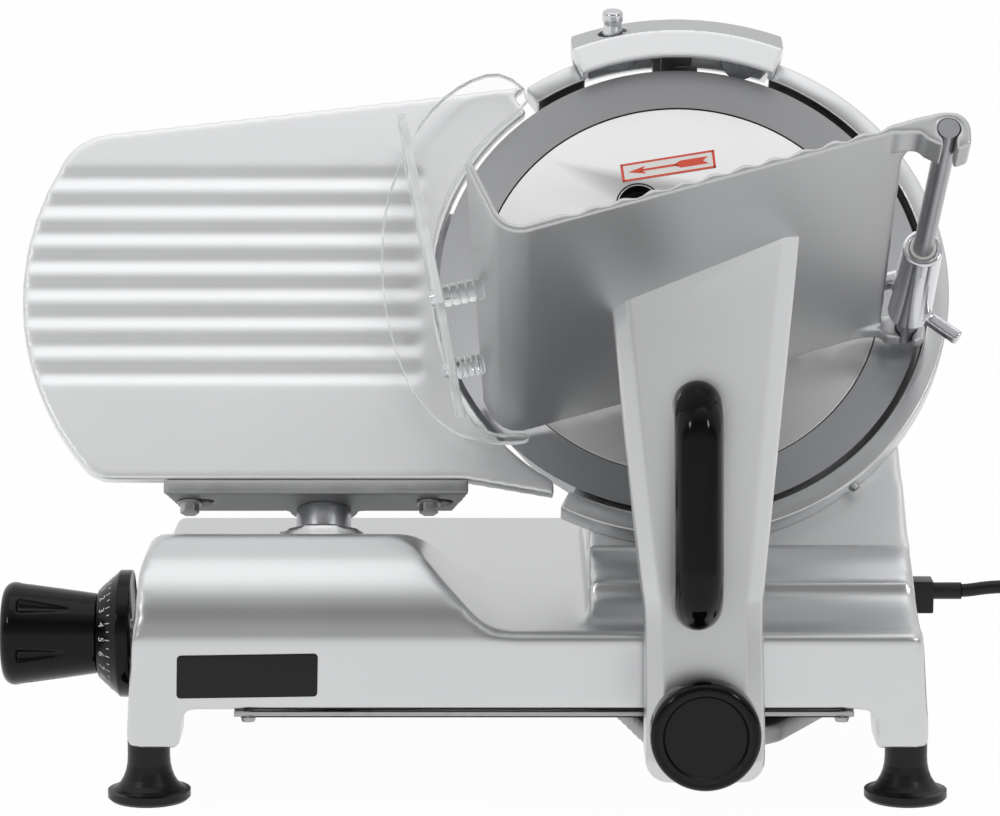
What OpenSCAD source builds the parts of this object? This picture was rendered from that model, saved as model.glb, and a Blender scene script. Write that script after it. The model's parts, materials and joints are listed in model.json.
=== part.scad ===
// Electric food slicer with a leaning knife, a gauge plate and a sliding food carriage.
// Millimetres. +X is to the right of the front, +Y is away from it, +Z is up.
// Lengths below are set out from three datums: the knife axis (X), the front wall (Y), the table (Z).

/* [Knife] */
// Diameter of the knife
knife_d = 250; // [244:1:254]
// Lean of the knife from upright, with its top away from the front
knife_tilt = 32; // [31:0.5:33]
// Height of the knife's centre above the table
knife_z = 238; // [236:1:242]
// Knife's centre behind the front wall
knife_y = 155; // [152:1:158]
// Bore of the knife
knife_bore = 57; // [50:1:60]
// Depth of the knife's dish
dish_depth = 16; // [15:0.5:17]
// Thickness of the knife's flange
knife_t = 3; // [2:0.5:4]
// Diameter of the cover disc
disc_d = 207; // [200:1:210]
// Thickness of the cover disc
disc_t = 2.6; // [2:0.2:4]
// Gap from the knife's edge to the guard ring
ring_gap = 3.5; // [2.5:0.5:4.5]
// Radial width of the guard ring
ring_w = 10.5; // [8:0.5:12]
// Diameter of the pulley on the knife's hub
hub_d = 90; // [80:1:96]
// Diameter of the spindle
spindle_d = 17; // [14:1:20]
// Diameter of the tie rod that holds the cover disc
tie_rod_d = 6; // [5:0.5:7]

/* [Base] */
// Width of the base at its legs
base_w = 396; // [392:1:404]
// Depth of the base
base_d = 305; // [302:1:320]
// Knife axis to the base's right face, at the legs
base_right = 118; // [116:1:122]
// Height of the deck
deck_z = 88; // [87:0.5:89]
// Height of the skirt's lower edge
skirt_z = 49; // [48:0.5:50]
// Height of the legs' ends, which is the height of a foot
leg_z = 30; // [28:0.5:31]
// Width of a leg
leg_w = 27; // [24:1:30]
// Depth of a leg
leg_d = 32; // [28:1:36]
// Wall of the base casting
base_wall = 5; // [4:0.5:6]
// Draft of the base's ends, in degrees
base_draft = 4; // [3:0.5:5]
// Height of the hump's crest
hump_z = 127; // [125:0.5:128]
// Radius of the hump's front
hump_r = 50; // [48:1:52]
// Flange diameter of a foot
foot_d = 41; // [36:1:44]
// Neck diameter of a foot
foot_neck_d = 21; // [18:1:24]
// Thickness of the bottom cover
bottom_t = 3; // [2:0.5:3]

/* [Gauge plate] */
// Thickness of the gauge plate
gauge_t = 8; // [7:0.5:9]
// Gap from the gauge plate to the knife's edge
gauge_gap = 2.6; // [2:0.1:6]
// Spacing of the gauge plate's ribs
rib_pitch = 15.9; // [14:0.1:16.5]
// Count of the grooves between the ribs
rib_count = 8; // [6:1:8]
// Depth of a groove
rib_depth = 1.6; // [1:0.1:2.5]
// Travel of the gauge plate, the thickest slice
gauge_travel = 12; // [10:0.5:13]
// Turn of the index knob over that travel, in degrees
index_turn = 300; // [240:10:320]
// Diameter of the gauge post
post_d = 28; // [24:1:30]
// Diameter of the gauge guide rod
guide_rod_d = 14; // [12:1:16]
// Diameter of the index dial
dial_d = 64; // [58:1:66]
// Diameter of the index knob's outer end
knob_d = 52; // [46:1:56]
// Length of the index knob
knob_l = 48; // [40:1:52]
// Diameter of the index shaft
index_shaft_d = 12; // [10:1:14]
// Diameter of the follower pin
pin_d = 6; // [5:0.5:7]

/* [Carriage] */
// Slope of the tray floor across the knife, in degrees
tray_slope = 16.6; // [15:0.2:18]
// Depth of the tray floor, square to the knife
tray_depth = 242; // [236:1:244]
// Thickness of the tray casting
tray_t = 4; // [3:0.5:5]
// Height of the tray's side wall at its outer end
tray_wall_h = 42; // [38:1:46]
// Diameter of the pusher rod
rod_d = 10; // [8:0.5:10]
// Width of the arm's foot
arm_foot_w = 57; // [52:1:60]
// Width of the arm under the tray
arm_top_w = 92; // [86:1:96]
// Diameter of the handle's grip
grip_d = 23.6; // [20:0.4:26]
// Height of the handle
handle_h = 120; // [110:1:124]
// Diameter of the lock knob
lock_d = 53; // [46:1:56]
// Diameter of the carriage rail
rail_d = 16; // [14:1:18]
// Side of the square guide bar
guide_bar_w = 8; // [6:1:10]
// Thickness of the clear hand guard
guard_t = 4; // [3:0.5:4]

/* [Drive] */
// Diameter of the motor
motor_d = 68; // [60:1:70]
// Length of the motor
motor_l = 75; // [65:1:76]
// Diameter of the motor's pulley
motor_pulley_d = 28; // [22:1:34]
// Diameter of the motor shaft
motor_shaft_d = 10; // [8:1:12]
// Width of the belt
belt_w = 12; // [8:1:13]
// Thickness of the belt
belt_t = 3; // [2:0.5:4]

/* [Sharpener] */
// Half the angle that the sharpener cover spans
cover_half_angle = 23; // [21:0.5:24]
// Travel of a sharpener button
stone_travel = 4; // [3:0.5:4.5]
// Diameter of a sharpener button
stone_button_d = 11; // [9:0.5:12]

/* [Cord] */
// Diameter of the mains cord
cord_d = 7; // [6:0.2:7]

/* [Fits] */
// Radial clearance of a running shaft
run_fit = 0.05; // [0.03:0.01:0.09]
// Radial clearance of a seated shaft in one body
seat_fit = 0.02; // [0.01:0.01:0.04]
// Clearance between parts that pass each other
pass_gap = 0.5; // [0.4:0.1:1]

/* [Hidden] */
$fn = 64;

cast_grey = "#c9cacb";
steel_grey = "#9a9c9e";
black = "#161616";

// Points of an arc about c, from angle a0 to a1
function arc(c, r, a0, a1, n = 8) =
    [for (i = [0:n]) let (a = a0 + (a1 - a0) * i / n) c + r * [cos(a), sin(a)]];
// Point at radius r and angle a
function polar(r, a) = r * [cos(a), sin(a)];
// Closed smooth curve through control points, n steps a span
function loop_curve(p, n) = [
    for (i = [0:len(p) - 1], k = [0:n - 1])
        let (t = k / n, m = len(p), a = p[(i + m - 1) % m], b = p[i], c = p[(i + 1) % m], d = p[(i + 2) % m])
        0.5 * (2 * b + (c - a) * t + (2 * a - 5 * b + 4 * c - d) * t * t
            + (3 * b - a - 3 * c + d) * t * t * t)
];

// Knife frame: x across the knife, y up its plane, z square to it towards the front
module knife_frame() translate([0, knife_y, knife_z]) rotate([90 - knife_tilt, 0, 0]) children();
// A flat shape drawn in (Y, Z), made solid from x0 to x1
module along_x(x0, x1) translate([x0, 0, 0]) rotate([90, 0, 90]) linear_extrude(x1 - x0) children();
// A flat shape drawn in (X, Z), made solid from y0 to y1
module along_y(y0, y1) translate([0, y1, 0]) rotate([90, 0, 0]) linear_extrude(y1 - y0) children();
// A shape drawn about +Z at the origin, turned to lie along +X from x
module on_x_axis(x, y, z) translate([x, y, z]) rotate([0, 90, 0]) children();
// A shape drawn about +Z at the origin, turned to lie along +Y from y
module on_y_axis(x, y, z) translate([x, y, z]) rotate([-90, 0, 0]) children();
// Ring sector about the axis, from angle a0 to a1, of a section drawn in (radius, height)
module sector(a0, a1) rotate([0, 0, a0]) rotate_extrude(angle = a1 - a0, $fn = 128) children();
// Rectangle with rounded corners
module rounded(x0, y0, x1, y1, r) {
    translate([x0 + r, y0]) square([x1 - x0 - 2 * r, y1 - y0]);
    translate([x0, y0 + r]) square([x1 - x0, y1 - y0 - 2 * r]);
    for (x = [x0 + r, x1 - r], y = [y0 + r, y1 - r]) translate([x, y]) circle(r);
}
module tube(r_out, r_in, h) difference() {
    cylinder(r = r_out, h = h);
    translate([0, 0, -1]) cylinder(r = r_in, h = h + 2);
}
// A block far larger than the machine, above height 0
module half_space() translate([-big, -big, 0]) cube([2 * big, 2 * big, big]);
big = 800;

// Knife frame to the standing frame: (across, up, out) gives [X, Y, Z]
function stand(p) = [
    p[0],
    knife_y + p[1] * sin(knife_tilt) - p[2] * cos(knife_tilt),
    knife_z + p[1] * cos(knife_tilt) + p[2] * sin(knife_tilt)
];
// Standing (Y, Z) to the knife frame's (up, out)
function lean(y, z) = [
    (y - knife_y) * sin(knife_tilt) + (z - knife_z) * cos(knife_tilt),
    (z - knife_z) * sin(knife_tilt) - (y - knife_y) * cos(knife_tilt)
];

// Base
base_left = base_right - base_w;
corner_r = 10;
rim_r = 4;
deck_t = 5;
function left_x(z) = base_left + (z - leg_z) * tan(base_draft);
function right_x(z) = base_right - (z - leg_z) * tan(base_draft);
hump_c = [hump_r, hump_z - hump_r];
hump_root = hump_c[1] - 3;
hump_shoulder = 14;
post_x = -184;
hump_past_post = 34;
hump_fall_r = 30;
hump_sweep_r = 25;
hump_x = post_x + hump_past_post;
ped_left = -50;
ped_front = 40;
ped_back = 250;
ped_top = deck_z + 18;
ped_sill = deck_z + 12;
ped_crest = deck_z + 31.5;
ped_cove_y = 8;
foot_inset = 10.5;
foot_y = 20;
foot_rim = 5;
foot_flare = 17;

// Knife column and knife, heights along the knife's normal
rim_r0 = disc_d / 2 + 0.6;
dish_r = disc_d / 2 - 16;
knife_back = -dish_depth - knife_t;
pan_wall = 11;
pan_room = 13.5;
pan_in = dish_r + pan_room;
pan_r = pan_in + pan_wall;
col_front = -14;
col_back = -52;
col_wall = 5;
neck_left = -46;
neck_right = 110;
neck_flare = 6;
neck_top = -60;
neck_foot = -150;
ring_in = knife_d / 2 + ring_gap;
ring_out = ring_in + ring_w;
ring_front = 2;
ring_flange_t = 4;
ring_flange_gap = 2;
ring_flange_in = rim_r0 + ring_flange_gap;
ring_start = -117;
ring_end = 125;
ring_notch = 22;
hub_back = -42;
hub_web = 3;
bearing_d = 35;
bearing_w = 9;
motor_at = [30, -100];
belt_mid = -34;
belt_gap = 0.3;
screw_circle = 39;

// Gauge plate and its slide, in the knife frame
gauge_face = -1;
gauge_side_c = [-185, -1];
gauge_side_r = 156.4;
gauge_top = [-73, 117.5];
gauge_top_slope = 7.2;
gauge_top_fillet = 30;
gauge_low = -107;
gauge_low_fillet = 20;
gauge_tip = [-66, -115.5];
gauge_tip_run = -112;
gauge_ring_room = 2;
rib_first = 62.8;
rib_end = -138;
rib_r = 10;
slab_t = 8;
slab_depth = 27;
slab_left = -265;
slab_right = -109;
slab_draw = 9;
bolt_x = [-252, -130];
bolt_d = 6;
bolt_out = -14;
post_out = -26;
boss_top = -130;
boss_d = 50;
stub_d = 16;
block_top = -151;
guide_rod_up = -165;
block_half = 16;
block_l = 40;
index_y = 62;
index_z = 74.5;
bush_l = 13;
bush_proud = 1;
cam_r = 24;
cam_t = 10;
cam_face = (left_x(index_z) - bush_proud + bush_l + post_x - block_half + cam_t) / 2;
cam_groove = 5;
cam_start = 8;
dial_gap = 0.2;
dial_rim = 7;
dial_cone = 10;
dial_right = base_left - dial_gap;
knob_left = dial_right - dial_rim - dial_cone - knob_l;

// Carriage, in the knife frame unless it says otherwise
tray_out = 5;
tray_corner = [-93, -87];
tray_fold_r = 16;
tray_wall_turn = 98;
tray_wall_far = 24;
tray_right_far = 203;
tray_right_near = 195;
rod_at = [114, -31];
ear_r = 10.5;
ear_depth = 22;
lug_depth = 10;
lug_out = 8;
arm_mid = 5;
arm_bottom = 22;
arm_front = -42;
arm_rear = -8;
arm_lean = 0.1875;
arm_straight = 96;
arm_knee = 135;
arm_left_top = 255;
arm_right_top = 290;
arm_top = 300;
arm_top_t = 16;
lock_z = 53;
lock_reach = 36;
bracket_z = 32;
bracket_t = 10;
rail_y = 238;
rail_z = 66;
guide_bar_y = 272;
rail_l = right_x(rail_z) - left_x(rail_z) - 2 * base_wall;
slide_l = 60;
sleeve_r = 10;
sleeve_low = 40;
sleeve_l = 75;
bush_t = 1.5;
pusher_reach = 128;
lever_reach = 30;
spacer_l = 12;

// Overall box, without the cord, and the origin at the middle of its foot
gland_y = 140;
gland_z = 80;
gland_r = 7;
gland_up = 6.2;
gland_down = 10.5;
gland_lug = 4;
gland_block = 16;
gland_face = right_x(gland_z);
gland_l = 32;
gland_seat = (gland_down + gland_lug) * tan(base_draft) + 0.1;
fold_c = [tray_fold_r / tan(tray_wall_turn / 2), tray_fold_r];
fold_low = tray_corner[1] + fold_c * [sin(tray_slope), cos(tray_slope)] - tray_fold_r;
reach_right = gland_face + gland_l;
reach_front = stand([0, fold_low, tray_out + tray_depth])[1];
reach_back = base_d - foot_y + foot_d / 2;
origin_x = (knob_left + reach_right) / 2;
origin_y = (reach_front + reach_back) / 2;
module seat() translate([-origin_x, -origin_y, 0]) children();

// Base casting: drafted shell with a humped end, a pedestal and four legs
module deck_block(i, z0, z1, r) intersection() {
    along_y(i, base_d - i) polygon(concat(
        [[left_x(z0) + i, z0], [right_x(z0) - i, z0]],
        arc([right_x(z1) - i - r, z1 - r], r, 0, 90, 4),
        arc([left_x(z1) + i + r, z1 - r], r, 90, 180, 4)));
    along_x(base_left, base_right) polygon(concat(
        [[i, z0], [base_d - i, z0]],
        arc([base_d - i - r, z1 - r], r, 0, 90, 4),
        arc([i + r, z1 - r], r, 90, 180, 4)));
    translate([0, 0, z0]) linear_extrude(z1 - z0)
        rounded(base_left + i, i, base_right - i, base_d - i, corner_r - i);
}
module hump_side(i) {
    end = hump_c + polar(hump_r - i, 90 - knife_tilt);
    polygon(concat(
        [[i, hump_root]],
        arc(hump_c, hump_r - i, 180, 90 - knife_tilt, 14),
        [[end[0] + (end[1] - hump_root) / tan(knife_tilt), hump_root]]));
}
module hump_front() {
    top = [hump_x, hump_z - hump_fall_r] + polar(hump_fall_r, 45);
    foot_zx = deck_z + hump_sweep_r * (1 - sin(45));
    sweep_x = top[0] + (top[1] - foot_zx) + hump_sweep_r * sin(45);
    polygon(concat(
        [[left_x(hump_root), hump_root]],
        arc([left_x(hump_z) + hump_shoulder, hump_z - hump_shoulder], hump_shoulder, 180, 90, 6),
        arc([hump_x, hump_z - hump_fall_r], hump_fall_r, 90, 45, 6),
        arc([sweep_x, deck_z + hump_sweep_r], hump_sweep_r, 225, 270, 6),
        [[sweep_x, hump_root]]));
}
module hump() intersection() {
    along_x(base_left, 0) hump_side(0);
    along_y(0, base_d) hump_front();
}
module pedestal_side() {
    run = ped_front - ped_cove_y;
    rise = ped_sill - deck_z;
    cove_r = (run * run + rise * rise) / (2 * rise);
    polygon(concat(
        [[ped_cove_y, hump_root]],
        arc([ped_cove_y, deck_z + cove_r], cove_r, -90, -atan2(cove_r - rise, run), 6),
        [[ped_front, ped_sill + 6]],
        arc([ped_front + 30, ped_crest - 30], 30, 155, 90, 6),
        [[ped_front + 34, ped_top], [ped_back, ped_top], [ped_back, hump_root]]));
}
module pedestal() intersection() {
    along_x(ped_left, base_right) pedestal_side();
    along_y(0, base_d) polygon([
        [ped_left - 4, hump_root], [right_x(hump_root), hump_root],
        [right_x(ped_crest), ped_crest], [ped_left, ped_crest]]);
}
module leg_gaps() {
    along_y(-1, base_d + 1) polygon([
        [left_x(leg_z) + leg_w, leg_z - 1], [right_x(leg_z) - leg_w, leg_z - 1],
        [right_x(skirt_z) - leg_w, skirt_z], [left_x(skirt_z) + leg_w, skirt_z]]);
    translate([base_left - 1, leg_d, leg_z - 1]) cube([base_w + 2, base_d - 2 * leg_d, skirt_z - leg_z + 1]);
}
// Lugs for the gauge guide rod, and the pierced boss that the gauge post passes
front_lug = [10, 22];
rear_lug = [-78, -66];
module gauge_lugs() intersection() {
    union() {
        deck_block(0, leg_z, deck_z, rim_r);
        hump();
    }
    knife_frame() for (w = [front_lug, rear_lug])
        translate([post_x - 11, guide_rod_up - 11, w[0]]) cube([22, 60, w[1] - w[0]]);
}
module post_boss() knife_frame() translate([post_x, 0, post_out]) rotate([-90, 0, 0])
    translate([0, 0, boss_top - 16]) cylinder(d = boss_d, h = 16);
module post_slot() knife_frame() translate([post_x, 0, 0]) {
    slot_w = stub_d + 2 * pass_gap;
    for (w = [post_out, post_out - gauge_travel]) translate([0, boss_top + 1, w]) rotate([90, 0, 0])
        cylinder(d = slot_w, h = 27);
    translate([-slot_w / 2, boss_top - 26, post_out - gauge_travel]) cube([slot_w, 27, gauge_travel]);
}
module rail_bosses() for (x = [left_x(rail_z) + 1, right_x(rail_z) - 17])
    on_x_axis(x, rail_y, rail_z) cylinder(d = rail_d + 12, h = 16);
module guide_bar_bosses() for (x = [left_x(rail_z) + 1, right_x(rail_z) - 17])
    translate([x, guide_bar_y - guide_bar_w / 2 - 5, rail_z - guide_bar_w / 2 - 5])
        cube([16, guide_bar_w + 10, guide_bar_w + 10]);
module rail_bores() {
    on_x_axis(left_x(rail_z) + base_wall, rail_y, rail_z)
        cylinder(r = rail_d / 2 + seat_fit, h = rail_l);
    translate([left_x(rail_z) + base_wall, guide_bar_y - guide_bar_w / 2, rail_z - guide_bar_w / 2])
        cube([rail_l, guide_bar_w, guide_bar_w]);
}
module base_casting() color(cast_grey) seat() difference() {
    union() {
        difference() {
            union() {
                deck_block(0, leg_z, deck_z, rim_r);
                hump();
                pedestal();
            }
            difference() {
                deck_block(base_wall, leg_z - 1, deck_z - deck_t, 2);
                foot_pads();
            }
            intersection() {
                along_x(left_x(hump_z) + base_wall, hump_x + 12) hump_side(base_wall);
                along_y(0, base_d) polygon([
                    [left_x(hump_root) + base_wall, hump_root - 5], [hump_x + 12, hump_root - 5],
                    [hump_x + 12, hump_z], [left_x(hump_z) + base_wall + 8, hump_z],
                    [left_x(hump_z) + base_wall, hump_z - 20]]);
            }
            translate([ped_left + base_wall, ped_front + 6, deck_z - deck_t - 1])
                cube([right_x(ped_top) - ped_left - 2 * base_wall, ped_back - ped_front - 11,
                    ped_top - deck_z + 1]);
            motor_opening();
        }
        gauge_lugs();
        post_boss();
        rail_bosses();
        guide_bar_bosses();
        cover_posts();
    }
    leg_gaps();
    post_slot();
    rail_bores();
    knife_frame() translate([post_x, guide_rod_up, rear_lug[0] - 1])
        cylinder(r = guide_rod_d / 2 + seat_fit, h = front_lug[1] - rear_lug[0] - 3);
    on_x_axis(base_left - 5, index_y, index_z) cylinder(r = bush_r + seat_fit, h = 20);
    on_x_axis(base_right - 20, gland_y, gland_z) cylinder(r = gland_r + seat_fit, h = 40);
    switch_window();
    for (p = cover_screw_at) translate([p[0], p[1], skirt_z - 1]) cylinder(r = 2 + seat_fit, h = 9);
}
module cover_posts() for (p = cover_screw_at)
    if (p[1] > leg_d) translate([p[0], p[1], skirt_z])
        cylinder(r = 6, h = (p[0] > ped_left ? ped_top : deck_z) - 3 - skirt_z);
module foot_pads() for (p = foot_at)
    translate([p[0] - leg_w / 2 - 8, p[1] - leg_d / 2 - 8, leg_z - 1])
        cube([leg_w + 16, leg_d + 16, skirt_z - leg_z + 1]);
motor_room = 2;
module motor_opening() translate([motor_at[0] - motor_d / 2 - motor_room, ped_front + 52, ped_top - 12])
    cube([motor_d + 2 * motor_room, ped_back - ped_front - 78, 20]);

// Feet, bottom cover and its screws
foot_at = [for (y = [foot_y, base_d - foot_y], x = [base_left + foot_inset, base_right - foot_inset]) [x, y]];
module foot(p) color(black) seat() translate([p[0], p[1], 0]) rotate_extrude() polygon(concat(
    [[0, 0], [foot_d / 2 - 1.5, 0], [foot_d / 2, 1.5], [foot_d / 2, foot_rim]],
    [for (i = [1:7]) [foot_d / 2 - (foot_d - foot_neck_d) / 2 * sin(90 * i / 7),
        foot_rim + foot_flare * (1 - cos(90 * i / 7))]],
    [[foot_neck_d / 2, leg_z], [0, leg_z]]));
module foot_front_left() foot(foot_at[0]);
module foot_front_right() foot(foot_at[1]);
module foot_rear_left() foot(foot_at[2]);
module foot_rear_right() foot(foot_at[3]);
cover_left = base_left + 54;
cover_right = base_right - 38;
cover_back = 212;
cover_screw_at = [for (x = [cover_left + 7, cover_right - 6], y = [2.6, cover_back - 6]) [x, y]];
module bottom_cover() color(cast_grey) seat() difference() {
    translate([cover_left, 0.5, skirt_z - bottom_t]) cube([cover_right - cover_left, cover_back, bottom_t]);
    for (p = cover_screw_at) translate([p[0], p[1], skirt_z - bottom_t - 1])
        cylinder(r = 2 + seat_fit, h = 9);
}
module cover_screws() color(steel_grey) seat() for (p = cover_screw_at)
    translate([p[0], p[1], skirt_z - bottom_t]) {
        translate([0, 0, -2.4]) cylinder(r = 4, h = 2.4);
        cylinder(r = 2, h = bottom_t + 7);
    }

// Knife column: round pan with a hollow neck that stands on the pedestal
module neck(i) polygon([
    [neck_left + i, neck_top + 40], [neck_left - 4 + i, neck_foot],
    [neck_right + neck_flare - i, neck_foot], [neck_right - i, neck_top],
    [neck_right - 24 - i, neck_top + 40]]);
module knife_column() color(cast_grey) seat() difference() {
    knife_frame() difference() {
        union() {
            translate([0, 0, col_back]) cylinder(r = pan_r, h = col_front - col_back, $fn = 128);
            translate([0, 0, col_back]) linear_extrude(col_front - col_back) neck(0);
        }
        translate([0, 0, col_back + col_wall]) cylinder(r = pan_in, h = 100, $fn = 128);
        translate([0, 0, col_back + col_wall]) linear_extrude(col_front - col_back - 2 * col_wall) neck(6);
        translate([0, 0, col_back - 1]) cylinder(r = spindle_d / 2 + seat_fit, h = 10);
        translate([motor_at[0], motor_at[1], col_back - 1]) cylinder(r = motor_shaft_d / 2 + 3, h = 10);
        for (p = deflector_screw_at) translate([p[0], p[1], col_back - 1]) cylinder(r = 2 + seat_fit, h = 8);
    }
    translate([0, 0, ped_top]) mirror([0, 0, 1]) half_space();
    translate([-big, -big, 0]) cube([2 * big, big + ped_front + 34 + pass_gap, ped_top + 20]);
}

// Guard ring: flange on the column, with a wall round the knife's edge
module ring_section() polygon([
    [ring_flange_in, col_front], [ring_out, col_front], [ring_out, ring_front], [ring_in, ring_front],
    [ring_in, col_front + ring_flange_t], [ring_flange_in, col_front + ring_flange_t]]);
module guard_ring() color(cast_grey) seat() knife_frame() difference() {
    sector(ring_start, ring_end) ring_section();
    sector(90 - ring_notch, 90 + ring_notch) translate([knife_d / 2 + 2, col_front - 1])
        square([ring_out, ring_front - col_front + 2]);
}

// Knife, its hub with the driven pulley, the bearings and the fixed spindle
module knife_screw_places() for (a = [45:90:315]) rotate([0, 0, a]) translate([screw_circle, 0, 0])
    children();
module knife() color(steel_grey) seat() knife_frame() difference() {
    rotate_extrude($fn = 180) polygon([
        [knife_bore / 2, knife_back], [knife_bore / 2, -dish_depth], [dish_r, -dish_depth],
        [rim_r0, -6], [rim_r0, -2], [knife_d / 2, 0], [knife_d / 2, -0.5],
        [knife_d / 2 - 6, -4.5], [rim_r0 + 1, -7.5], [dish_r + 1.5, knife_back]]);
    knife_screw_places() translate([0, 0, knife_back - 1]) cylinder(r = 2.5 + seat_fit, h = 6);
}
module knife_screws() color(steel_grey) seat() knife_frame() knife_screw_places() {
    translate([0, 0, -dish_depth]) cylinder(r = 4.5, h = 3);
    translate([0, 0, knife_back - 6]) cylinder(r = 2.5, h = 6 + knife_t);
}
module knife_hub() color(cast_grey) seat() knife_frame() difference() {
    union() {
        translate([0, 0, hub_back]) cylinder(d = hub_d, h = knife_back - hub_back);
        translate([0, 0, hub_back]) cylinder(d = hub_d + 4, h = 1.5);
        translate([0, 0, knife_back - 1.5]) cylinder(d = hub_d + 4, h = 1.5);
        translate([0, 0, knife_back]) cylinder(r = knife_bore / 2 - seat_fit, h = knife_t - 0.5);
    }
    translate([0, 0, hub_back - 1])
        cylinder(r = bearing_d / 2 + seat_fit, h = knife_back - hub_back + 1 - hub_web);
    translate([0, 0, hub_back]) cylinder(r = spindle_d / 2 + 2, h = 40);
    knife_screw_places() translate([0, 0, knife_back - 7]) cylinder(r = 2.5 + seat_fit, h = 20);
}
module hub_bearings() color(steel_grey) seat() knife_frame()
    for (w = [hub_back, knife_back - hub_web - bearing_w]) translate([0, 0, w])
        tube(bearing_d / 2, spindle_d / 2 + run_fit, bearing_w);
spindle_front = -15;
spindle_rear = -62;
module knife_spindle() color(steel_grey) seat() knife_frame() difference() {
    union() {
        translate([0, 0, spindle_rear]) cylinder(d = spindle_d, h = spindle_front - spindle_rear);
        translate([0, 0, col_back + col_wall])
            cylinder(d = spindle_d + 22, h = hub_back - 1 - col_back - col_wall);
    }
    translate([0, 0, spindle_rear - 1]) cylinder(r = tie_rod_d / 2 + run_fit, h = 60);
}
disc_front = -2.2;
finger_hole = [-21, 48.3];
finger_hole_d = 21;
module cover_disc() color("#e6e6e6") seat() knife_frame() difference() {
    union() {
        translate([0, 0, disc_front - disc_t]) cylinder(d = disc_d, h = disc_t, $fn = 128);
        translate([0, 0, spindle_front]) cylinder(r = 9, h = disc_front - disc_t - spindle_front);
        translate([finger_hole[0], finger_hole[1], disc_front - 9]) cylinder(d = finger_hole_d + 3, h = 8);
    }
    translate([0, 0, spindle_front - 1]) cylinder(r = tie_rod_d / 2 + run_fit, h = 9);
    translate([finger_hole[0], finger_hole[1], disc_front - 7.5]) cylinder(d = finger_hole_d, h = 20);
}
module tie_rod() color(steel_grey) seat() knife_frame() translate([0, 0, spindle_rear - 12])
    cylinder(d = tie_rod_d, h = spindle_front + 7 - spindle_rear + 12);
module disc_knob() color(black) seat() knife_frame() translate([0, 0, spindle_rear - 15]) difference() {
    cylinder(r = 17, h = 14.5);
    for (a = [0:45:315]) rotate([0, 0, a]) translate([20, 0, -1]) cylinder(r = 5, h = 17);
    translate([0, 0, 3]) cylinder(r = tie_rod_d / 2 + seat_fit, h = 20);
}

// Motor behind the column, its pulley, the belt and the rear cover
belt_span = norm(motor_at);
belt_turn = atan2(motor_at[1], motor_at[0]);
module belt_loop(r0, r1) {
    a = acos((r0 - r1) / belt_span);
    polygon(concat(arc([0, 0], r0, a, 360 - a, 30), arc([belt_span, 0], r1, -a, a, 12)));
}
module drive_belt() color(black) seat() knife_frame() rotate([0, 0, belt_turn])
    translate([0, 0, belt_mid - belt_w / 2]) linear_extrude(belt_w) difference() {
        belt_loop(hub_d / 2 + belt_gap + belt_t, motor_pulley_d / 2 + belt_gap + belt_t);
        belt_loop(hub_d / 2 + belt_gap, motor_pulley_d / 2 + belt_gap);
    }
module at_motor() knife_frame() translate([motor_at[0], motor_at[1], 0]) children();
module motor() color(steel_grey) seat() at_motor() translate([0, 0, col_back - motor_l]) difference() {
    union() {
        cylinder(d = motor_d - 8, h = motor_l);
        translate([0, 0, 12]) cylinder(d = motor_d, h = motor_l - 24);
    }
    translate([0, 0, motor_l - 14]) cylinder(r = motor_shaft_d / 2 + run_fit, h = 20);
}
module motor_pulley() color(steel_grey) seat() at_motor() {
    translate([0, 0, col_back - 12]) cylinder(d = motor_shaft_d, h = belt_mid - col_back + 12);
    translate([0, 0, belt_mid - belt_w / 2 - 2]) cylinder(d = motor_pulley_d, h = belt_w + 4);
    for (w = [-belt_w / 2 - 2, belt_w / 2 + 0.6]) translate([0, 0, belt_mid + w])
        cylinder(d = motor_pulley_d + 3, h = 1.4);
}
cover_wall = 3;
motor_cover_room = 4;
motor_cover_l = motor_l + 8;
module motor_cover() color(cast_grey) seat() intersection() {
    at_motor() difference() {
        r = motor_d / 2 + motor_cover_room + cover_wall;
        translate([0, 0, col_back - motor_cover_l]) linear_extrude(motor_cover_l) motor_cover_outline(r);
        translate([0, 0, col_back - motor_cover_l + cover_wall]) linear_extrude(motor_cover_l)
            motor_cover_outline(r - cover_wall);
        for (u = [-18:9:18]) translate([u - 2, -10, col_back - motor_cover_l - 1]) cube([4, 36, 6]);
    }
    translate([0, 0, ped_top]) half_space();
}
module motor_cover_outline(r) {
    circle(r);
    translate([-r, -80]) square([2 * r, 80]);
}

// Slice deflector: bent plate behind the knife, held on the column's back
deflector_past_pan = 8;
deflector_left = -pan_r - deflector_past_pan;
deflector_w = 82;
deflector_h = 132;
deflector_t = 2;
deflector_lip = 22;
deflector_bend = 38;
deflector_screw_in = 60;
deflector_screw_at = [for (v = [44, -32]) [deflector_left + deflector_screw_in, v]];
module slice_deflector() color(steel_grey) seat() knife_frame() {
    difference() {
        translate([deflector_left, -deflector_h / 2, col_back - deflector_t])
            cube([deflector_w, deflector_h, deflector_t]);
        for (p = deflector_screw_at) translate([p[0], p[1], col_back - 5]) cylinder(r = 2 + seat_fit, h = 8);
    }
    translate([deflector_left, -deflector_h / 2, col_back]) rotate([0, deflector_bend, 0])
        translate([-deflector_lip, 0, -deflector_t]) cube([deflector_lip + 0.5, deflector_h, deflector_t]);
    for (p = deflector_screw_at) translate([p[0], p[1], col_back - 5.5]) cylinder(r = 5, h = 3.5);
}

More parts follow.
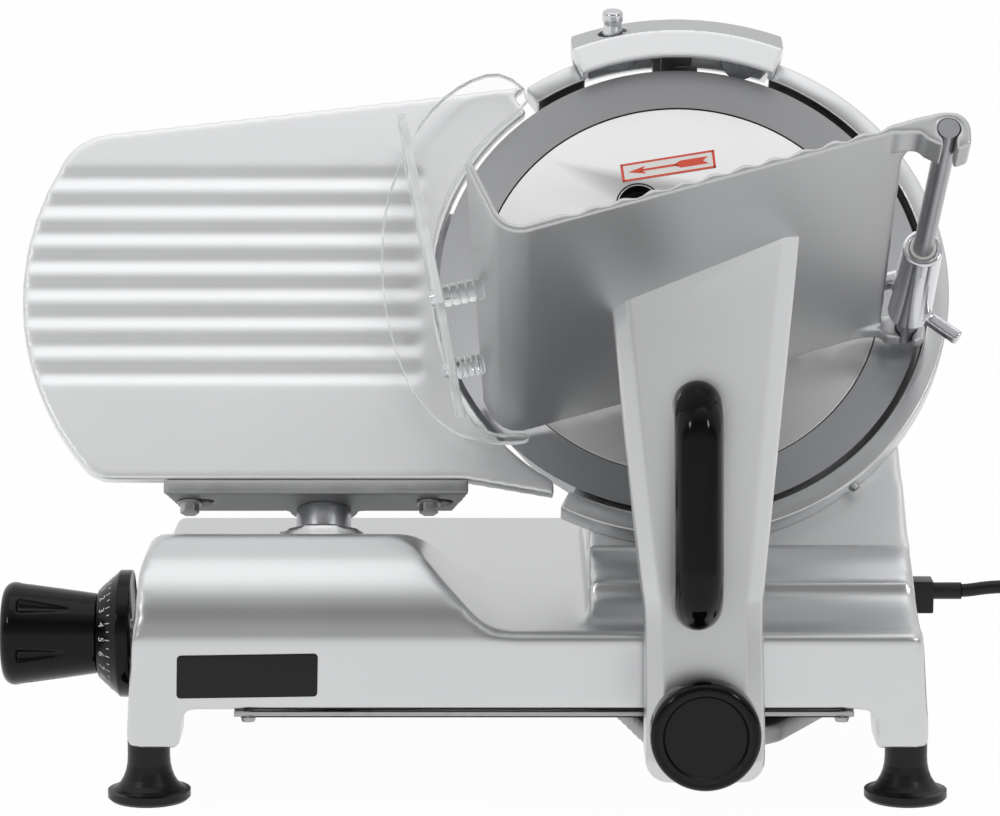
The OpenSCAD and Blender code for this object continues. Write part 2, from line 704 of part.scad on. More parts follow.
// Sharpener: cover over the knife's top, its base, and two stones on push buttons
cover_in = knife_d / 2 + 2;
cover_face = 14;
cover_edge = cover_in + 15;
cover_top = cover_edge + 13.5;
cover_rear = -30;
cover_skin = 3;
ring_pass = ring_out + 2;
module cover_solid() polygon([
    [cover_in, ring_front + 2], [cover_in, cover_face], [cover_edge, cover_face],
    [cover_top, cover_face - (cover_top - cover_edge)], [cover_top, cover_rear],
    [ring_pass, cover_rear], [ring_pass, ring_front + 2]]);
module cover_room() polygon([
    [cover_in - 1, ring_front + 1], [cover_in - 1, cover_face - cover_skin],
    [cover_edge - 1.2, cover_face - cover_skin],
    [cover_top - cover_skin, cover_face - (cover_top - cover_edge) - 1.2],
    [cover_top - cover_skin, cover_rear + cover_skin],
    [ring_pass - 2, cover_rear + cover_skin], [ring_pass - 2, ring_front + 1]]);
cover_half_w = 56;
cover_draw = 8;
module cover_plan(i) translate([0, big / 2, 0]) rotate([90, 0, 0]) linear_extrude(big / 2) polygon([
    [i - cover_half_w, cover_face + 1], [cover_half_w - i, cover_face + 1], [cover_half_w - i, 0],
    [cover_half_w - cover_draw - i, cover_rear - 1], [i + cover_draw - cover_half_w, cover_rear - 1],
    [i - cover_half_w, 0]]);
module sharpener_cover() color(cast_grey) seat() knife_frame() difference() {
    intersection() {
        sector(90 - cover_half_angle, 90 + cover_half_angle) cover_solid();
        cover_plan(0);
    }
    intersection() {
        sector(91.2 - cover_half_angle, 88.8 + cover_half_angle) cover_room();
        cover_plan(cover_skin);
    }
    honing_frame() translate([0, 0, -5]) cylinder(r = stone_button_d / 2 + 2.3, h = 60);
    grinding_frame() translate([0, 0, 10]) cylinder(r = stone_button_d / 2 + 1, h = 60);
}
// Base on the pan, an upright, and a guide for each stone's spindle
module sharpener_base() color(cast_grey) seat() knife_frame() difference() {
    union() {
        sector(85, 95) translate([pan_r + seat_fit, cover_rear + cover_skin])
            square([cover_top - cover_skin - pan_r - 2 * seat_fit, 8]);
        translate([-8, cover_in + 4, cover_rear + cover_skin]) cube([16, 11, 32]);
        honing_frame() translate([-6, -5, 3.6]) cube([stone_x + 6, 10, 3.8]);
        grinding_frame() translate([-stone_x, -5, 3.6]) cube([stone_x + 6, 10, 4.4]);
    }
    honing_frame() cylinder(r = stone_rod_r + run_fit, h = 20);
    grinding_frame() cylinder(r = stone_rod_r + run_fit, h = 20);
}
stone_x = 34;
stone_rod_r = 3;
honing_at = [knife_d / 2 + 9.7, -2.5];
grinding_at = [knife_d / 2 + 6.6, -1];
module honing_frame() translate([-stone_x, honing_at[0], honing_at[1]]) rotate([-45, 0, 0]) children();
module grinding_frame() translate([stone_x, grinding_at[0], grinding_at[1]]) rotate([-135, 0, 0]) children();
stone_t = 6;
module honing_stone() color("#5b5f66") seat() knife_frame() honing_frame() translate([0, 0, -stone_t / 2])
    difference() {
        cylinder(r = 13, h = stone_t);
        translate([0, 0, 2]) cylinder(r = stone_rod_r + seat_fit, h = stone_t);
    }
module honing_button() color(steel_grey) seat() knife_frame() honing_frame() {
    translate([0, 0, -stone_t / 2 + 2]) cylinder(r = stone_rod_r, h = 14);
    translate([0, 0, 12]) cylinder(d = stone_button_d, h = 13.5);
}
module grinding_stone() color("#5b5f66") seat() knife_frame() grinding_frame() translate([0, 0, -stone_t / 2])
    difference() {
        cylinder(r = 10, h = stone_t);
        translate([0, 0, 2]) cylinder(r = stone_rod_r + seat_fit, h = stone_t);
    }
module grinding_button() color(steel_grey) seat() knife_frame() grinding_frame() {
    translate([0, 0, -stone_t / 2 + 2]) cylinder(r = stone_rod_r, h = 24);
    translate([0, 0, 22]) cylinder(d = stone_button_d, h = 18);
}

// Gauge plate: ribbed casting with a foot flange
function gauge_corner() =
    let (d = polar(1, gauge_top_slope), m = [d[1], -d[0]], p = gauge_top + gauge_top_fillet * m,
        q = p - gauge_side_c, b = q * d, c = q * q - pow(gauge_side_r - gauge_top_fillet, 2))
    p - (b + sqrt(b * b - c)) * d;
// Height of the gauge plate's hollow above the knife's centre
gauge_lift = 1.4;
module gauge_outline() {
    c1 = gauge_corner();
    e1 = c1 - gauge_side_c;
    rise = gauge_low + gauge_low_fillet - gauge_side_c[1];
    c2 = gauge_side_c + [-sqrt(pow(gauge_side_r - gauge_low_fillet, 2) - rise * rise), rise];
    e2 = c2 - gauge_side_c;
    difference() {
        polygon(concat(
            [gauge_top],
            arc(c1, gauge_top_fillet, 90 + gauge_top_slope, atan2(e1[1], e1[0]), 6),
            arc(gauge_side_c, gauge_side_r, atan2(e1[1], e1[0]), 360 + atan2(e2[1], e2[0]), 20),
            arc(c2, gauge_low_fillet, 360 + atan2(e2[1], e2[0]), 270, 6),
            [[gauge_tip_run, gauge_low], gauge_tip]));
        translate([0, gauge_lift]) circle(r = knife_d / 2 + gauge_gap, $fn = 180);
        polygon(concat([[0, 0]], arc([0, 0], ring_out + gauge_ring_room, 90, ring_end + 3, 12)));
    }
}
module gauge_plate() color(cast_grey) seat() knife_frame() difference() {
    union() {
        translate([0, 0, gauge_face - gauge_t]) linear_extrude(gauge_t) gauge_outline();
        translate([slab_left + 3, gauge_low, gauge_face - slab_depth - 8])
            cube([slab_right - slab_left - 6, 7, slab_depth + 8 - 2]);
    }
    for (i = [0:rib_count - 1])
        translate([rib_end, rib_first - i * rib_pitch, gauge_face + rib_r - rib_depth]) rotate([0, -90, 0]) {
            cylinder(r = rib_r, h = 260);
            sphere(r = rib_r);
        }
    for (x = bolt_x) translate([x, gauge_low - 1, bolt_out]) rotate([-90, 0, 0])
        cylinder(r = bolt_d / 2 + seat_fit, h = 7);
}
module gauge_bracket() color(cast_grey) seat() knife_frame() difference() {
    translate([0, gauge_low - slab_t, 0]) rotate([-90, 0, 0]) linear_extrude(slab_t) {
        polygon([
            [slab_left, -gauge_face], [slab_right, -gauge_face],
            [slab_right - slab_draw, slab_depth], [slab_left + slab_draw, slab_depth]]);
        translate([post_x, -post_out]) circle(d = post_d + 8);
    }
    for (x = bolt_x) translate([x, gauge_low - slab_t - 1, bolt_out]) rotate([-90, 0, 0]) {
        for (s = [-1, 9]) translate([s, 0, 0]) cylinder(d = bolt_d + 1, h = slab_t + 2);
        translate([-1, -bolt_d / 2 - 0.45, 0]) cube([10, bolt_d + 0.9, slab_t + 2]);
    }
}
module gauge_bolts() color(steel_grey) seat() knife_frame() for (x = bolt_x)
    translate([x, gauge_low - slab_t, bolt_out]) rotate([-90, 0, 0]) {
        translate([0, 0, -5.8]) cylinder(d = 10, h = 4.6, $fn = 6);
        translate([0, 0, -1.2]) cylinder(d = 12.5, h = 1.2);
        cylinder(d = bolt_d, h = slab_t);
    }
module gauge_post() color(steel_grey) seat() knife_frame()
    translate([post_x, 0, post_out]) rotate([-90, 0, 0]) {
        translate([0, 0, boss_top + pass_gap])
            cylinder(d = post_d, h = gauge_low - slab_t - boss_top - pass_gap);
        translate([0, 0, block_top]) cylinder(d = stub_d, h = boss_top - block_top + 1);
    }
pin_at = lean(index_y, index_z) - [0, cam_start];
module gauge_block() color(steel_grey) seat() knife_frame() difference() {
    union() {
        translate([post_x - block_half, guide_rod_up - 14, post_out - block_l / 2])
            cube([2 * block_half, block_top - guide_rod_up + 14, block_l]);
        translate([post_x - block_half, pin_at[0] - 8, pin_at[1] - 8])
            cube([10, block_top - pin_at[0] + 6, 16]);
    }
    translate([post_x, guide_rod_up, -big]) cylinder(r = guide_rod_d / 2 + run_fit, h = 2 * big);
    translate([post_x - block_half - 1, pin_at[0], pin_at[1]]) rotate([0, 90, 0])
        cylinder(r = pin_d / 2 + seat_fit, h = 9);
}
module follower_pin() color(steel_grey) seat() knife_frame()
    translate([cam_face - cam_groove + 1, pin_at[0], pin_at[1]]) rotate([0, 90, 0])
        cylinder(d = pin_d, h = post_x - block_half + 8 - cam_face + cam_groove - 1);
module gauge_guide_rod() color(steel_grey) seat() knife_frame() translate([post_x, guide_rod_up, rear_lug[0]])
    cylinder(d = guide_rod_d, h = front_lug[1] - rear_lug[0] - 4);

// Index: knob and dial on a shaft that turns a spiral cam
bush_r = 12;
module on_index(x) on_x_axis(x, index_y, index_z) children();
module index_bush() color(steel_grey) seat() on_index(left_x(index_z) - bush_proud) difference() {
    cylinder(r = bush_r, h = bush_l);
    translate([0, 0, -1]) cylinder(r = index_shaft_d / 2 + run_fit, h = 20);
}
module index_dial() color(black) seat() on_index(dial_right - dial_rim - dial_cone) difference() {
    rotate_extrude() polygon([
        [0, 0], [dial_d / 2 - 10, 0], [dial_d / 2 - 1, dial_cone], [dial_d / 2, dial_cone + 1],
        [dial_d / 2, dial_cone + dial_rim], [0, dial_cone + dial_rim]]);
    translate([0, 0, -1]) cylinder(r = index_shaft_d / 2 + seat_fit, h = 40);
}
module index_knob() color(black) seat() on_index(knob_left) difference() {
    rotate_extrude() polygon(concat(
        [[0, 0]],
        arc([knob_d / 2 - 6, 6], 6, 270, 360, 5),
        [[knob_d / 2 - 6, knob_l], [0, knob_l]]));
    for (a = [45:60:345]) rotate([0, 0, a]) translate([knob_d / 2 + 1, 0, 9]) rotate([0, -10, 0])
        cylinder(r1 = 4.4, r2 = 1.2, h = 26);
    translate([0, 0, 12]) cylinder(r = index_shaft_d / 2 + seat_fit, h = 60);
}
// The groove's radius grows at a steady rate as the cam turns
module spiral_groove() {
    steps = 60;
    half = pin_d / 2 + pass_gap;
    function groove(f, side) = polar(cam_start + gauge_travel * f + side * half, -index_turn * f);
    polygon(concat(
        [for (i = [0:steps]) groove(i / steps, 1)],
        [for (i = [steps:-1:0]) groove(i / steps, -1)]));
    for (f = [0, 1]) translate(groove(f, 0)) circle(half);
}
module spiral_cam() color(steel_grey) seat() {
    on_index(knob_left + 14) cylinder(d = index_shaft_d, h = cam_face - cam_t + 2 - knob_left - 14);
    on_index(cam_face - cam_t) difference() {
        cylinder(r = cam_r, h = cam_t);
        translate([0, 0, cam_t - cam_groove]) rotate([0, 0, 90 - knife_tilt])
            linear_extrude(cam_t) spiral_groove();
    }
}

// Tray: floor and side wall with a round fold, an ear and a lug for the pusher rod
module tray_frame() translate([tray_corner[0], tray_corner[1], 0]) rotate([0, 0, tray_slope]) children();
module tray_section(length, height) {
    turn = 90 + tray_wall_turn;
    top = polar(height, tray_wall_turn);
    skin = tray_t * [cos(tray_wall_turn - 90), sin(tray_wall_turn - 90)];
    polygon(concat(
        [[length, 0]],
        arc(fold_c, tray_fold_r, 270, turn, 8),
        [top, top + skin],
        arc(fold_c, tray_fold_r - tray_t, turn, 270, 8),
        [[length, tray_t]]));
}
module rod_lug(depth, out) translate([0, 0, out]) linear_extrude(depth) difference() {
    union() {
        translate(rod_at) circle(ear_r);
        translate([rod_at[0] - 34, rod_at[1] - 3]) rotate([0, 0, tray_slope])
            square([30, ear_r + 2]);
    }
    translate(rod_at) circle(r = rod_d / 2 + seat_fit);
    translate([rod_at[0] - 2.2, rod_at[1] - 20]) square([4.4, 20]);
}
module narrowing(slope) multmatrix([[1, 0, slope, 0], [0, 1, 0, 0], [0, 0, 1, 0]]) children();
module tray() color(cast_grey) seat() knife_frame() {
    difference() {
        tray_frame() translate([0, 0, tray_out]) linear_extrude(tray_depth)
            tray_section(tray_right_far, tray_wall_h);
        tray_frame() translate([tray_right_far, 0, tray_out - 1])
            narrowing((tray_right_near - tray_right_far) / tray_depth)
                translate([0, -20, 0]) cube([60, 80, tray_depth + 2]);
        tray_frame() rotate([0, 0, tray_wall_turn]) translate([tray_wall_far, -20, tray_out - 1])
            narrowing((tray_wall_h - tray_wall_far) / tray_depth)
                cube([60, 40, tray_depth + 2]);
    }
    rod_lug(ear_depth, tray_out + tray_depth - ear_depth);
    rod_lug(lug_depth, lug_out);
}

// Arm: tapered casting from the carriage up to the tray's underside
arm_face_angle = atan(arm_lean);
function arm_face(z) = arm_front + (z - arm_bottom) * arm_lean;
module arm_outline() polygon([
    [arm_mid - arm_foot_w / 2, arm_bottom], [arm_mid + arm_foot_w / 2 + 1, arm_bottom],
    [arm_mid + arm_foot_w / 2, arm_straight], [arm_mid + arm_top_w / 2, arm_right_top],
    [arm_mid - arm_top_w / 2, arm_left_top], [arm_mid - arm_foot_w / 2, arm_straight]]);
module carriage_arm() color(cast_grey) seat() difference() {
    intersection() {
        along_y(-80, 60) arm_outline();
        along_x(-80, 90) polygon([
            [arm_front, arm_bottom], [arm_rear, arm_bottom], [arm_rear, arm_knee],
            [arm_face(arm_top) + arm_top_t, arm_top], [arm_face(arm_top), arm_top]]);
    }
    knife_frame() tray_frame() rotate([-90, 0, 0]) half_space();
    on_y_axis(lock_x, arm_front - 1, lock_z) {
        cylinder(r = lock_stud_d / 2 + run_fit, h = 60);
        cylinder(r = lock_neck_r + pass_gap, h = arm_face(lock_z) - arm_front + 1);
    }
}
lock_x = arm_mid - 1;
lock_stud_d = 12;
lock_neck_r = 17;
lock_seat_gap = 0.3;

// Handle: bent grip on the arm's face
grip_bend = 16;
grip_off = 30;
handle_foot_z = 96;
module on_arm_face() translate([arm_mid - 4, arm_face(handle_foot_z), handle_foot_z])
    rotate([-arm_face_angle, 0, 0]) children();
module handle() color(black) seat() on_arm_face() {
    low = grip_d / 2;
    high = handle_h - grip_d / 2;
    for (z = [low, high]) translate([0, -(grip_off - grip_bend), z]) rotate([-90, 0, 0])
        cylinder(d = grip_d, h = grip_off - grip_bend);
    translate([0, -grip_off, low + grip_bend]) cylinder(d = grip_d, h = high - low - 2 * grip_bend);
    for (z = [low + grip_bend, high - grip_bend], s = [z < handle_h / 2 ? 180 : 270])
        translate([0, -(grip_off - grip_bend), z]) rotate([0, -90, 0]) rotate([0, 0, s])
            rotate_extrude(angle = 90) translate([grip_bend, 0]) circle(d = grip_d);
}

// Lock knob with its stud, which clamps the arm to the carriage bracket
module lock_knob() color(black) seat() on_y_axis(lock_x, 0, lock_z) {
    face = arm_face(lock_z);
    translate([0, 0, face - lock_reach]) rotate_extrude() polygon(concat(
        [[0, 1.2], [lock_d / 2 - 7, 1.2], [lock_d / 2 - 6, 0]],
        arc([lock_d / 2 - 4, 4], 4, 270, 360, 5),
        [[lock_d / 2, 15], [lock_d / 2 - 4, 19], [lock_neck_r, 21],
            [lock_neck_r - 1, lock_reach - lock_seat_gap], [0, lock_reach - lock_seat_gap]]));
    translate([0, 0, face - 6]) cylinder(d = lock_stud_d, h = bracket_front + 5 - face + 6);
}

// Carriage bracket under the base, and the block that slides on the rail
bracket_front = arm_rear;
bracket_waist = 4;
bracket_wide = rail_y - 143;
bracket_left = -45;
bracket_right = 90;
module carriage_bracket() color(cast_grey) seat() difference() {
    union() {
        translate([0, 0, bracket_z]) linear_extrude(bracket_t) polygon([
            [arm_mid - 27, bracket_front], [arm_mid + 27, bracket_front],
            [arm_mid + 40, bracket_waist], [bracket_right, bracket_wide],
            [bracket_right, rail_y + 14], [bracket_left, rail_y + 14],
            [bracket_left, bracket_wide], [arm_mid - 30, bracket_waist]]);
        translate([arm_mid - 20, bracket_front, bracket_z]) cube([40, 6, lock_z - bracket_z + 12]);
    }
    on_y_axis(lock_x, bracket_front - 1, lock_z) cylinder(r = lock_stud_d / 2 + run_fit, h = 20);
}
module slide_block() color(steel_grey) seat() difference() {
    translate([arm_mid - slide_l / 2, rail_y - 16, bracket_z + bracket_t])
        cube([slide_l, guide_bar_y + 10 - rail_y + 16, rail_z + 14 - bracket_z - bracket_t]);
    on_x_axis(-big, rail_y, rail_z) cylinder(r = rail_d / 2 + run_fit, h = 2 * big);
    translate([-big, guide_bar_y - guide_bar_w / 2 - 0.3, rail_z - guide_bar_w / 2 - 0.3])
        cube([2 * big, 40, guide_bar_w + 0.6]);
}
module carriage_rail() color(steel_grey) seat() on_x_axis(left_x(rail_z) + base_wall, rail_y, rail_z)
    cylinder(d = rail_d, h = rail_l);
module guide_bar() color(steel_grey) seat()
    translate([left_x(rail_z) + base_wall, guide_bar_y - guide_bar_w / 2, rail_z - guide_bar_w / 2])
        cube([rail_l, guide_bar_w, guide_bar_w]);

// Pusher on its rod: a lined sleeve with an arm, a plate and a release lever
module pusher_rod() color(steel_grey) seat() knife_frame() translate([rod_at[0], rod_at[1], lug_out])
    cylinder(d = rod_d, h = tray_out + tray_depth - lug_out - 0.4);
module at_sleeve() knife_frame() translate([rod_at[0], rod_at[1], sleeve_low]) children();
bush_out = rod_d / 2 + bush_t;
module pusher_bush() color("#d8d8d2") seat() at_sleeve()
    tube(bush_out, rod_d / 2 + run_fit, sleeve_l);
module pusher() color(steel_grey) seat() at_sleeve() difference() {
    union() {
        cylinder(r1 = sleeve_r + 1.4, r2 = sleeve_r, h = sleeve_l);
        rotate([0, 0, 180 + tray_slope]) {
            translate([0, -17, 8]) cube([pusher_reach, 7, 8]);
            translate([22, -62, 8]) cube([pusher_reach - 22, 52, 4]);
        }
        rotate([0, 0, -38]) translate([sleeve_r - 2, -3.1, 2]) cube([lever_reach + 2 - sleeve_r, 6.2, 6.2]);
    }
    translate([0, 0, -1]) cylinder(r = bush_out + run_fit, h = sleeve_l + 2);
}

// Clear hand guard: flange beside the knife and a plate along the tray's side wall
guard_low = 7.5;
guard_plate_foot = [-115, -79];
guard_plate_turn = 101;
guard_flare = 3.5;
guard_l = 168;
guard_h = 182;
guard_flange = [
    [-79, 102], [-94, 118], [-116, 110], [-136, 88], [-151, 50], [-155, 12],
    [-151, -27], [-139, -62], [-120, -84], [-100, -91.5], [-81, -91.5], [-80.5, -87], [-97, -86.5],
    [-110, -76], [-121, -46], [-128.5, -8], [-125, 34], [-107, 73]];
module guard_frame() translate([guard_plate_foot[0], guard_plate_foot[1], guard_low])
    rotate([0, 0, guard_plate_turn]) rotate([-guard_flare, 0, 0]) translate([0, 0, -guard_low]) children();
module hand_guard() color("#dfe6e8", 0.4) seat() knife_frame() {
    translate([0, 0, guard_low]) linear_extrude(guard_t) polygon(loop_curve(guard_flange, 3));
    guard_frame() rotate([90, 0, 0]) linear_extrude(guard_t) polygon(concat(
        [[0, guard_low + 1], [guard_l, guard_low + 1], [guard_l - 2, guard_low + 12]],
        arc([guard_l / 2, guard_h - 12], 12, 40, 90, 4),
        arc([guard_l / 2 - 36, guard_h - 12], 12, 90, 145, 4),
        [[0, guard_h - 22]]));
}
guard_screw_out = [57, 148];
guard_screw_up = 8;
// Clear spacers from the guard's plate to the tray's wall
module guard_screws() color("#e4e8ea", 0.6) seat() knife_frame() intersection() {
    guard_frame() for (w = guard_screw_out) translate([guard_screw_up, -guard_t, w]) rotate([90, 0, 0])
        cylinder(d = 11, h = 3 * spacer_l);
    tray_frame() rotate([0, 0, tray_wall_turn]) translate([-big, 0, 0]) cube([2 * big, big, big]);
}

// Switch on the left end of the base
switch_y = 150;
switch_z = 69;
switch_l = 44;
switch_h = 24;
switch_x = left_x(switch_z);
button_travel = 3;
module switch_window() translate([switch_x - 10, switch_y, switch_z - switch_h / 2])
    cube([20, switch_l, switch_h]);
module switch_box() color(black) seat() difference() {
    union() {
        translate([switch_x - 3, switch_y - 4, switch_z - switch_h / 2 - 4])
            cube([2, switch_l + 8, switch_h + 8]);
        translate([switch_x - 2, switch_y + 0.2, switch_z - switch_h / 2 + 0.2])
            cube([30, switch_l - 0.4, switch_h - 0.4]);
    }
    for (y = button_y) on_x_axis(switch_x - 10, y, switch_z) cylinder(r = button_r + 0.3, h = 26);
}
button_r = 9;
button_y = [switch_y + 11, switch_y + switch_l - 11];
module push_button(y, c) color(c) seat() on_x_axis(switch_x - 7, y, switch_z) cylinder(r = button_r, h = 18);
module start_button() push_button(button_y[0], "#2c7a3a");
module stop_button() push_button(button_y[1], "#b02a24");

// Cord: gland on the right end, free lead, coil, tie and plug
module cord_gland() color(black) seat() on_x_axis(gland_face - base_wall, gland_y, gland_z) difference() {
    union() {
        cylinder(r = gland_r, h = base_wall + gland_seat);
        translate([-gland_up, -8, base_wall + gland_seat]) cube([gland_up + gland_down, 16, gland_block]);
        translate([gland_down - 0.5, -5, base_wall + gland_seat]) cube([gland_lug + 0.5, 10, 7]);
        translate([0, 0, base_wall + gland_block]) cylinder(r = cord_d / 2 + 0.9, h = gland_l - gland_block);
    }
    translate([0, 0, base_wall + gland_l - 6]) cylinder(r = cord_d / 2 + 0.3, h = 10);
}
// Route of the lead from the gland to the start of the coil
lead_path = [
    [141, 140, 80], [150, 140, 80.3], [160, 140, 81.6], [170, 140, 82], [180, 141, 80], [189, 143, 75],
    [196, 146, 67], [201, 149, 57], [205, 152, 46], [209, 155, 35], [214, 158, 24.6], [221, 161, 15.4],
    [229, 163.6, 9.8], [237, 165.4, 6.5], [243, 166, 5.3], [249, 166, 5.2]];
coil_lift = 1.7;
coil_turns = 6;
coil_pitch = 7.8;
coil_out = 52;
coil_c = [256, 218];
coil_climb = 7.7;
coil_z = coil_lift + cord_d / 2;
tail_turn = 0.22;
plug_z = 17;
function ease(t) = t <= 0 ? 0 : t >= 1 ? 1 : t * t * (3 - 2 * t);
function coil_r(t) = t <= coil_turns
    ? coil_out - coil_pitch * min(t, coil_turns - t)
    : coil_out + 10 * ease((t - coil_turns) / tail_turn);
function coil_h(t) = coil_z + coil_climb * ease((t - coil_turns / 2 + 0.25) * 2)
    + (plug_z - coil_z - coil_climb) * ease((t - coil_turns) / tail_turn);
function coil_at(t) = [
    coil_c[0] + coil_r(t) * sin(360 * t), coil_c[1] - coil_r(t) * cos(360 * t), coil_h(t)];
coil_steps = 24;
coil_end = coil_turns + tail_turn;
coil_points = [for (i = [0:coil_steps * coil_turns + 5]) coil_at(min(i / coil_steps, coil_end))];
coil_last = coil_at(coil_end);
tail_dir = let (d = coil_last - coil_at(coil_end - 0.01)) d / norm(d);
coil_path = concat(
    [coil_points[0] - [cord_d, 0, 0]],
    coil_points,
    [coil_last + cord_d * [tail_dir[0], tail_dir[1], 0] / norm([tail_dir[0], tail_dir[1]])]);
// Least gap between stretches of the coil that lie half a turn or more apart along it
coil_gap = min([
    for (i = [0:len(coil_points) - 1], j = [0:len(coil_points) - 1])
        if (j > i + coil_steps / 2) norm(coil_points[i] - coil_points[j])]) - cord_d;
echo(coil_gap = coil_gap);
function unit(v) = v / norm(v);
function along(p, i) = unit(p[min(i + 1, len(p) - 1)] - p[max(i - 1, 0)]);
// One tube along a path, with rings of n sides that stand upright to it
module sweep(path, r, n) {
    rings = [for (i = [0:len(path) - 1])
        let (t = along(path, i), side = unit(cross(t, [0, 0, 1])), up = cross(side, t))
            for (k = [0:n - 1], a = 360 * (k + 0.5) / n) path[i] + r * (cos(a) * side + sin(a) * up)];
    last = n * (len(path) - 1);
    polyhedron(rings, concat(
        [[for (k = [0:n - 1]) k]],
        [for (i = [0:len(path) - 2], k = [0:n - 1], h = [0, 1])
            let (a = i * n + k, b = i * n + (k + 1) % n)
                h == 0 ? [a, a + n, b] : [b, a + n, b + n]],
        [[for (k = [n - 1:-1:0]) last + k]]), convexity = 6);
}
module cord_lead() color(black) seat() sweep(lead_path, cord_d / 2, 10);
module cord_coil() color(black) seat() sweep(coil_path, cord_d / 2, 6);
tie_turn = 200;
module coil_tie() color(black) seat() translate([coil_c[0], coil_c[1], 0]) rotate([0, 0, tie_turn])
    translate([0, 5, 0]) rotate([90, 0, 0]) linear_extrude(10) difference() {
        rounded(coil_out - coil_turns / 2 * coil_pitch - cord_d / 2 - 2.2, 0, coil_out + cord_d / 2 + 3,
            coil_z + coil_climb + cord_d / 2 + 1.6, 1.5);
        rounded(coil_out - coil_turns / 2 * coil_pitch - cord_d / 2 - 1, 1.2, coil_out + cord_d / 2 + 1.8,
            coil_z + coil_climb + cord_d / 2 + 0.5, 1);
    }
// Two-pin round plug, lying past the coil's end
plug_at = coil_path[len(coil_path) - 1];
plug_turn = atan2(tail_dir[1], tail_dir[0]);
module plug() color(black) seat() translate(plug_at) rotate([0, 0, plug_turn]) rotate([0, 90, 0]) {
    cylinder(r1 = cord_d / 2 + 1, r2 = 6, h = 22);
    translate([0, 0, 22]) rotate_extrude() polygon(concat(
        [[0, 0]], arc([10, 6], 6, 270, 360, 5), [[16.5, 30], [0, 30]]));
    for (s = [-1, 1]) translate([0, s * 9.5, 50]) cylinder(r = 2.4, h = 19);
}

base_casting();
bottom_cover();
cover_screws();
foot_front_left();
foot_front_right();
foot_rear_left();
foot_rear_right();
knife_column();
guard_ring();
knife_spindle();
motor();
motor_cover();
drive_belt();
cover_disc();
slice_deflector();
sharpener_base();
sharpener_cover();
index_bush();
gauge_guide_rod();
carriage_rail();
guide_bar();
switch_box();
cord_gland();
cord_lead();
cord_coil();
coil_tie();
plug();
knife();
knife_screws();
knife_hub();
hub_bearings();
motor_pulley();
tie_rod();
disc_knob();
gauge_plate();
gauge_bracket();
gauge_bolts();
gauge_post();
gauge_block();
follower_pin();
index_knob();
index_dial();
spiral_cam();
carriage_arm();
tray();
carriage_bracket();
slide_block();
handle();
hand_guard();
guard_screws();
pusher_rod();
lock_knob();
pusher_bush();
pusher();
start_button();
stop_button();
honing_button();
honing_stone();
grinding_button();
grinding_stone();
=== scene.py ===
# Dresses the food slicer: softened castings, ground knife, clear hand guard, dial print and mains cord.
# Lengths are millimetres from the part's own datums: knife axis (X), front wall (Y) and table (Z).
import json
import math

import bmesh
import bpy
from mathutils import Matrix, Vector

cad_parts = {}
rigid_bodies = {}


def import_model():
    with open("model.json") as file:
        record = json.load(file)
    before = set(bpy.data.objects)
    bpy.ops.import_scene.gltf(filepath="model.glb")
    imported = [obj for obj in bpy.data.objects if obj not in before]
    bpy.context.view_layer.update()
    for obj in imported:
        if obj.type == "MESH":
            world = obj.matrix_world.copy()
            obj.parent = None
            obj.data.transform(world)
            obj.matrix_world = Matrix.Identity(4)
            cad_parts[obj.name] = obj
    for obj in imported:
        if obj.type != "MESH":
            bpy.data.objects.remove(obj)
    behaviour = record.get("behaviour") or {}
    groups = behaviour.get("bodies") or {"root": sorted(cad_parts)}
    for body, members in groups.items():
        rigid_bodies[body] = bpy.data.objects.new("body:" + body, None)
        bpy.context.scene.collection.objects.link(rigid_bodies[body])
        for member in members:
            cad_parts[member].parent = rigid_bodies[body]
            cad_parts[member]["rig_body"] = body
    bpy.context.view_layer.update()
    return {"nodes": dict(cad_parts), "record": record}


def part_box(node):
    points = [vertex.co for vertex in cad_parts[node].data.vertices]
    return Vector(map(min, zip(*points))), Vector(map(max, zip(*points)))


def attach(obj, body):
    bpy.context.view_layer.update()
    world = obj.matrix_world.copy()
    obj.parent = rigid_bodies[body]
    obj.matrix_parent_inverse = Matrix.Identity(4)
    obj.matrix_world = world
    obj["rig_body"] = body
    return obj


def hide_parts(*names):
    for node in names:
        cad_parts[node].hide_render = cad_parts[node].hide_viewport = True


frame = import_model()

MM = 0.001
knife_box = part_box("knife")
DATUM = -Vector((knife_box[0].x + knife_box[1].x, 2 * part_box("base_casting")[0].y, 0)) / (2 * MM)
TILT = math.radians(32)
KNIFE_Y, KNIFE_Z = 155, 238
UP = Vector((0, math.sin(TILT), math.cos(TILT)))
OUT = Vector((0, -math.cos(TILT), math.sin(TILT)))
ACROSS = Vector((1, 0, 0))


def at(x, y, z):
    """A point given from the datums, in metres in the part's frame."""
    return (Vector((x, y, z)) - DATUM) * MM


def on_knife(u, v, w):
    """A point across, up and out of the knife's plane, from the knife's centre."""
    return at(0, KNIFE_Y, KNIFE_Z) + (ACROSS * u + UP * v + OUT * w) * MM


def seated(origin, x_way, y_way):
    """The placing of a shape drawn in millimetres, from its origin and its first two axes."""
    z_way = x_way.cross(y_way)
    turn = Matrix((x_way, y_way, z_way)).transposed().to_4x4()
    return Matrix.Translation(origin) @ turn @ Matrix.Scale(MM, 4)


def arc(centre, radius, first, last, steps):
    """Points of a flat arc, angles in degrees."""
    points = []
    for i in range(steps + 1):
        angle = math.radians(first + (last - first) * i / steps)
        points.append((centre[0] + radius * math.cos(angle), centre[1] + radius * math.sin(angle)))
    return points


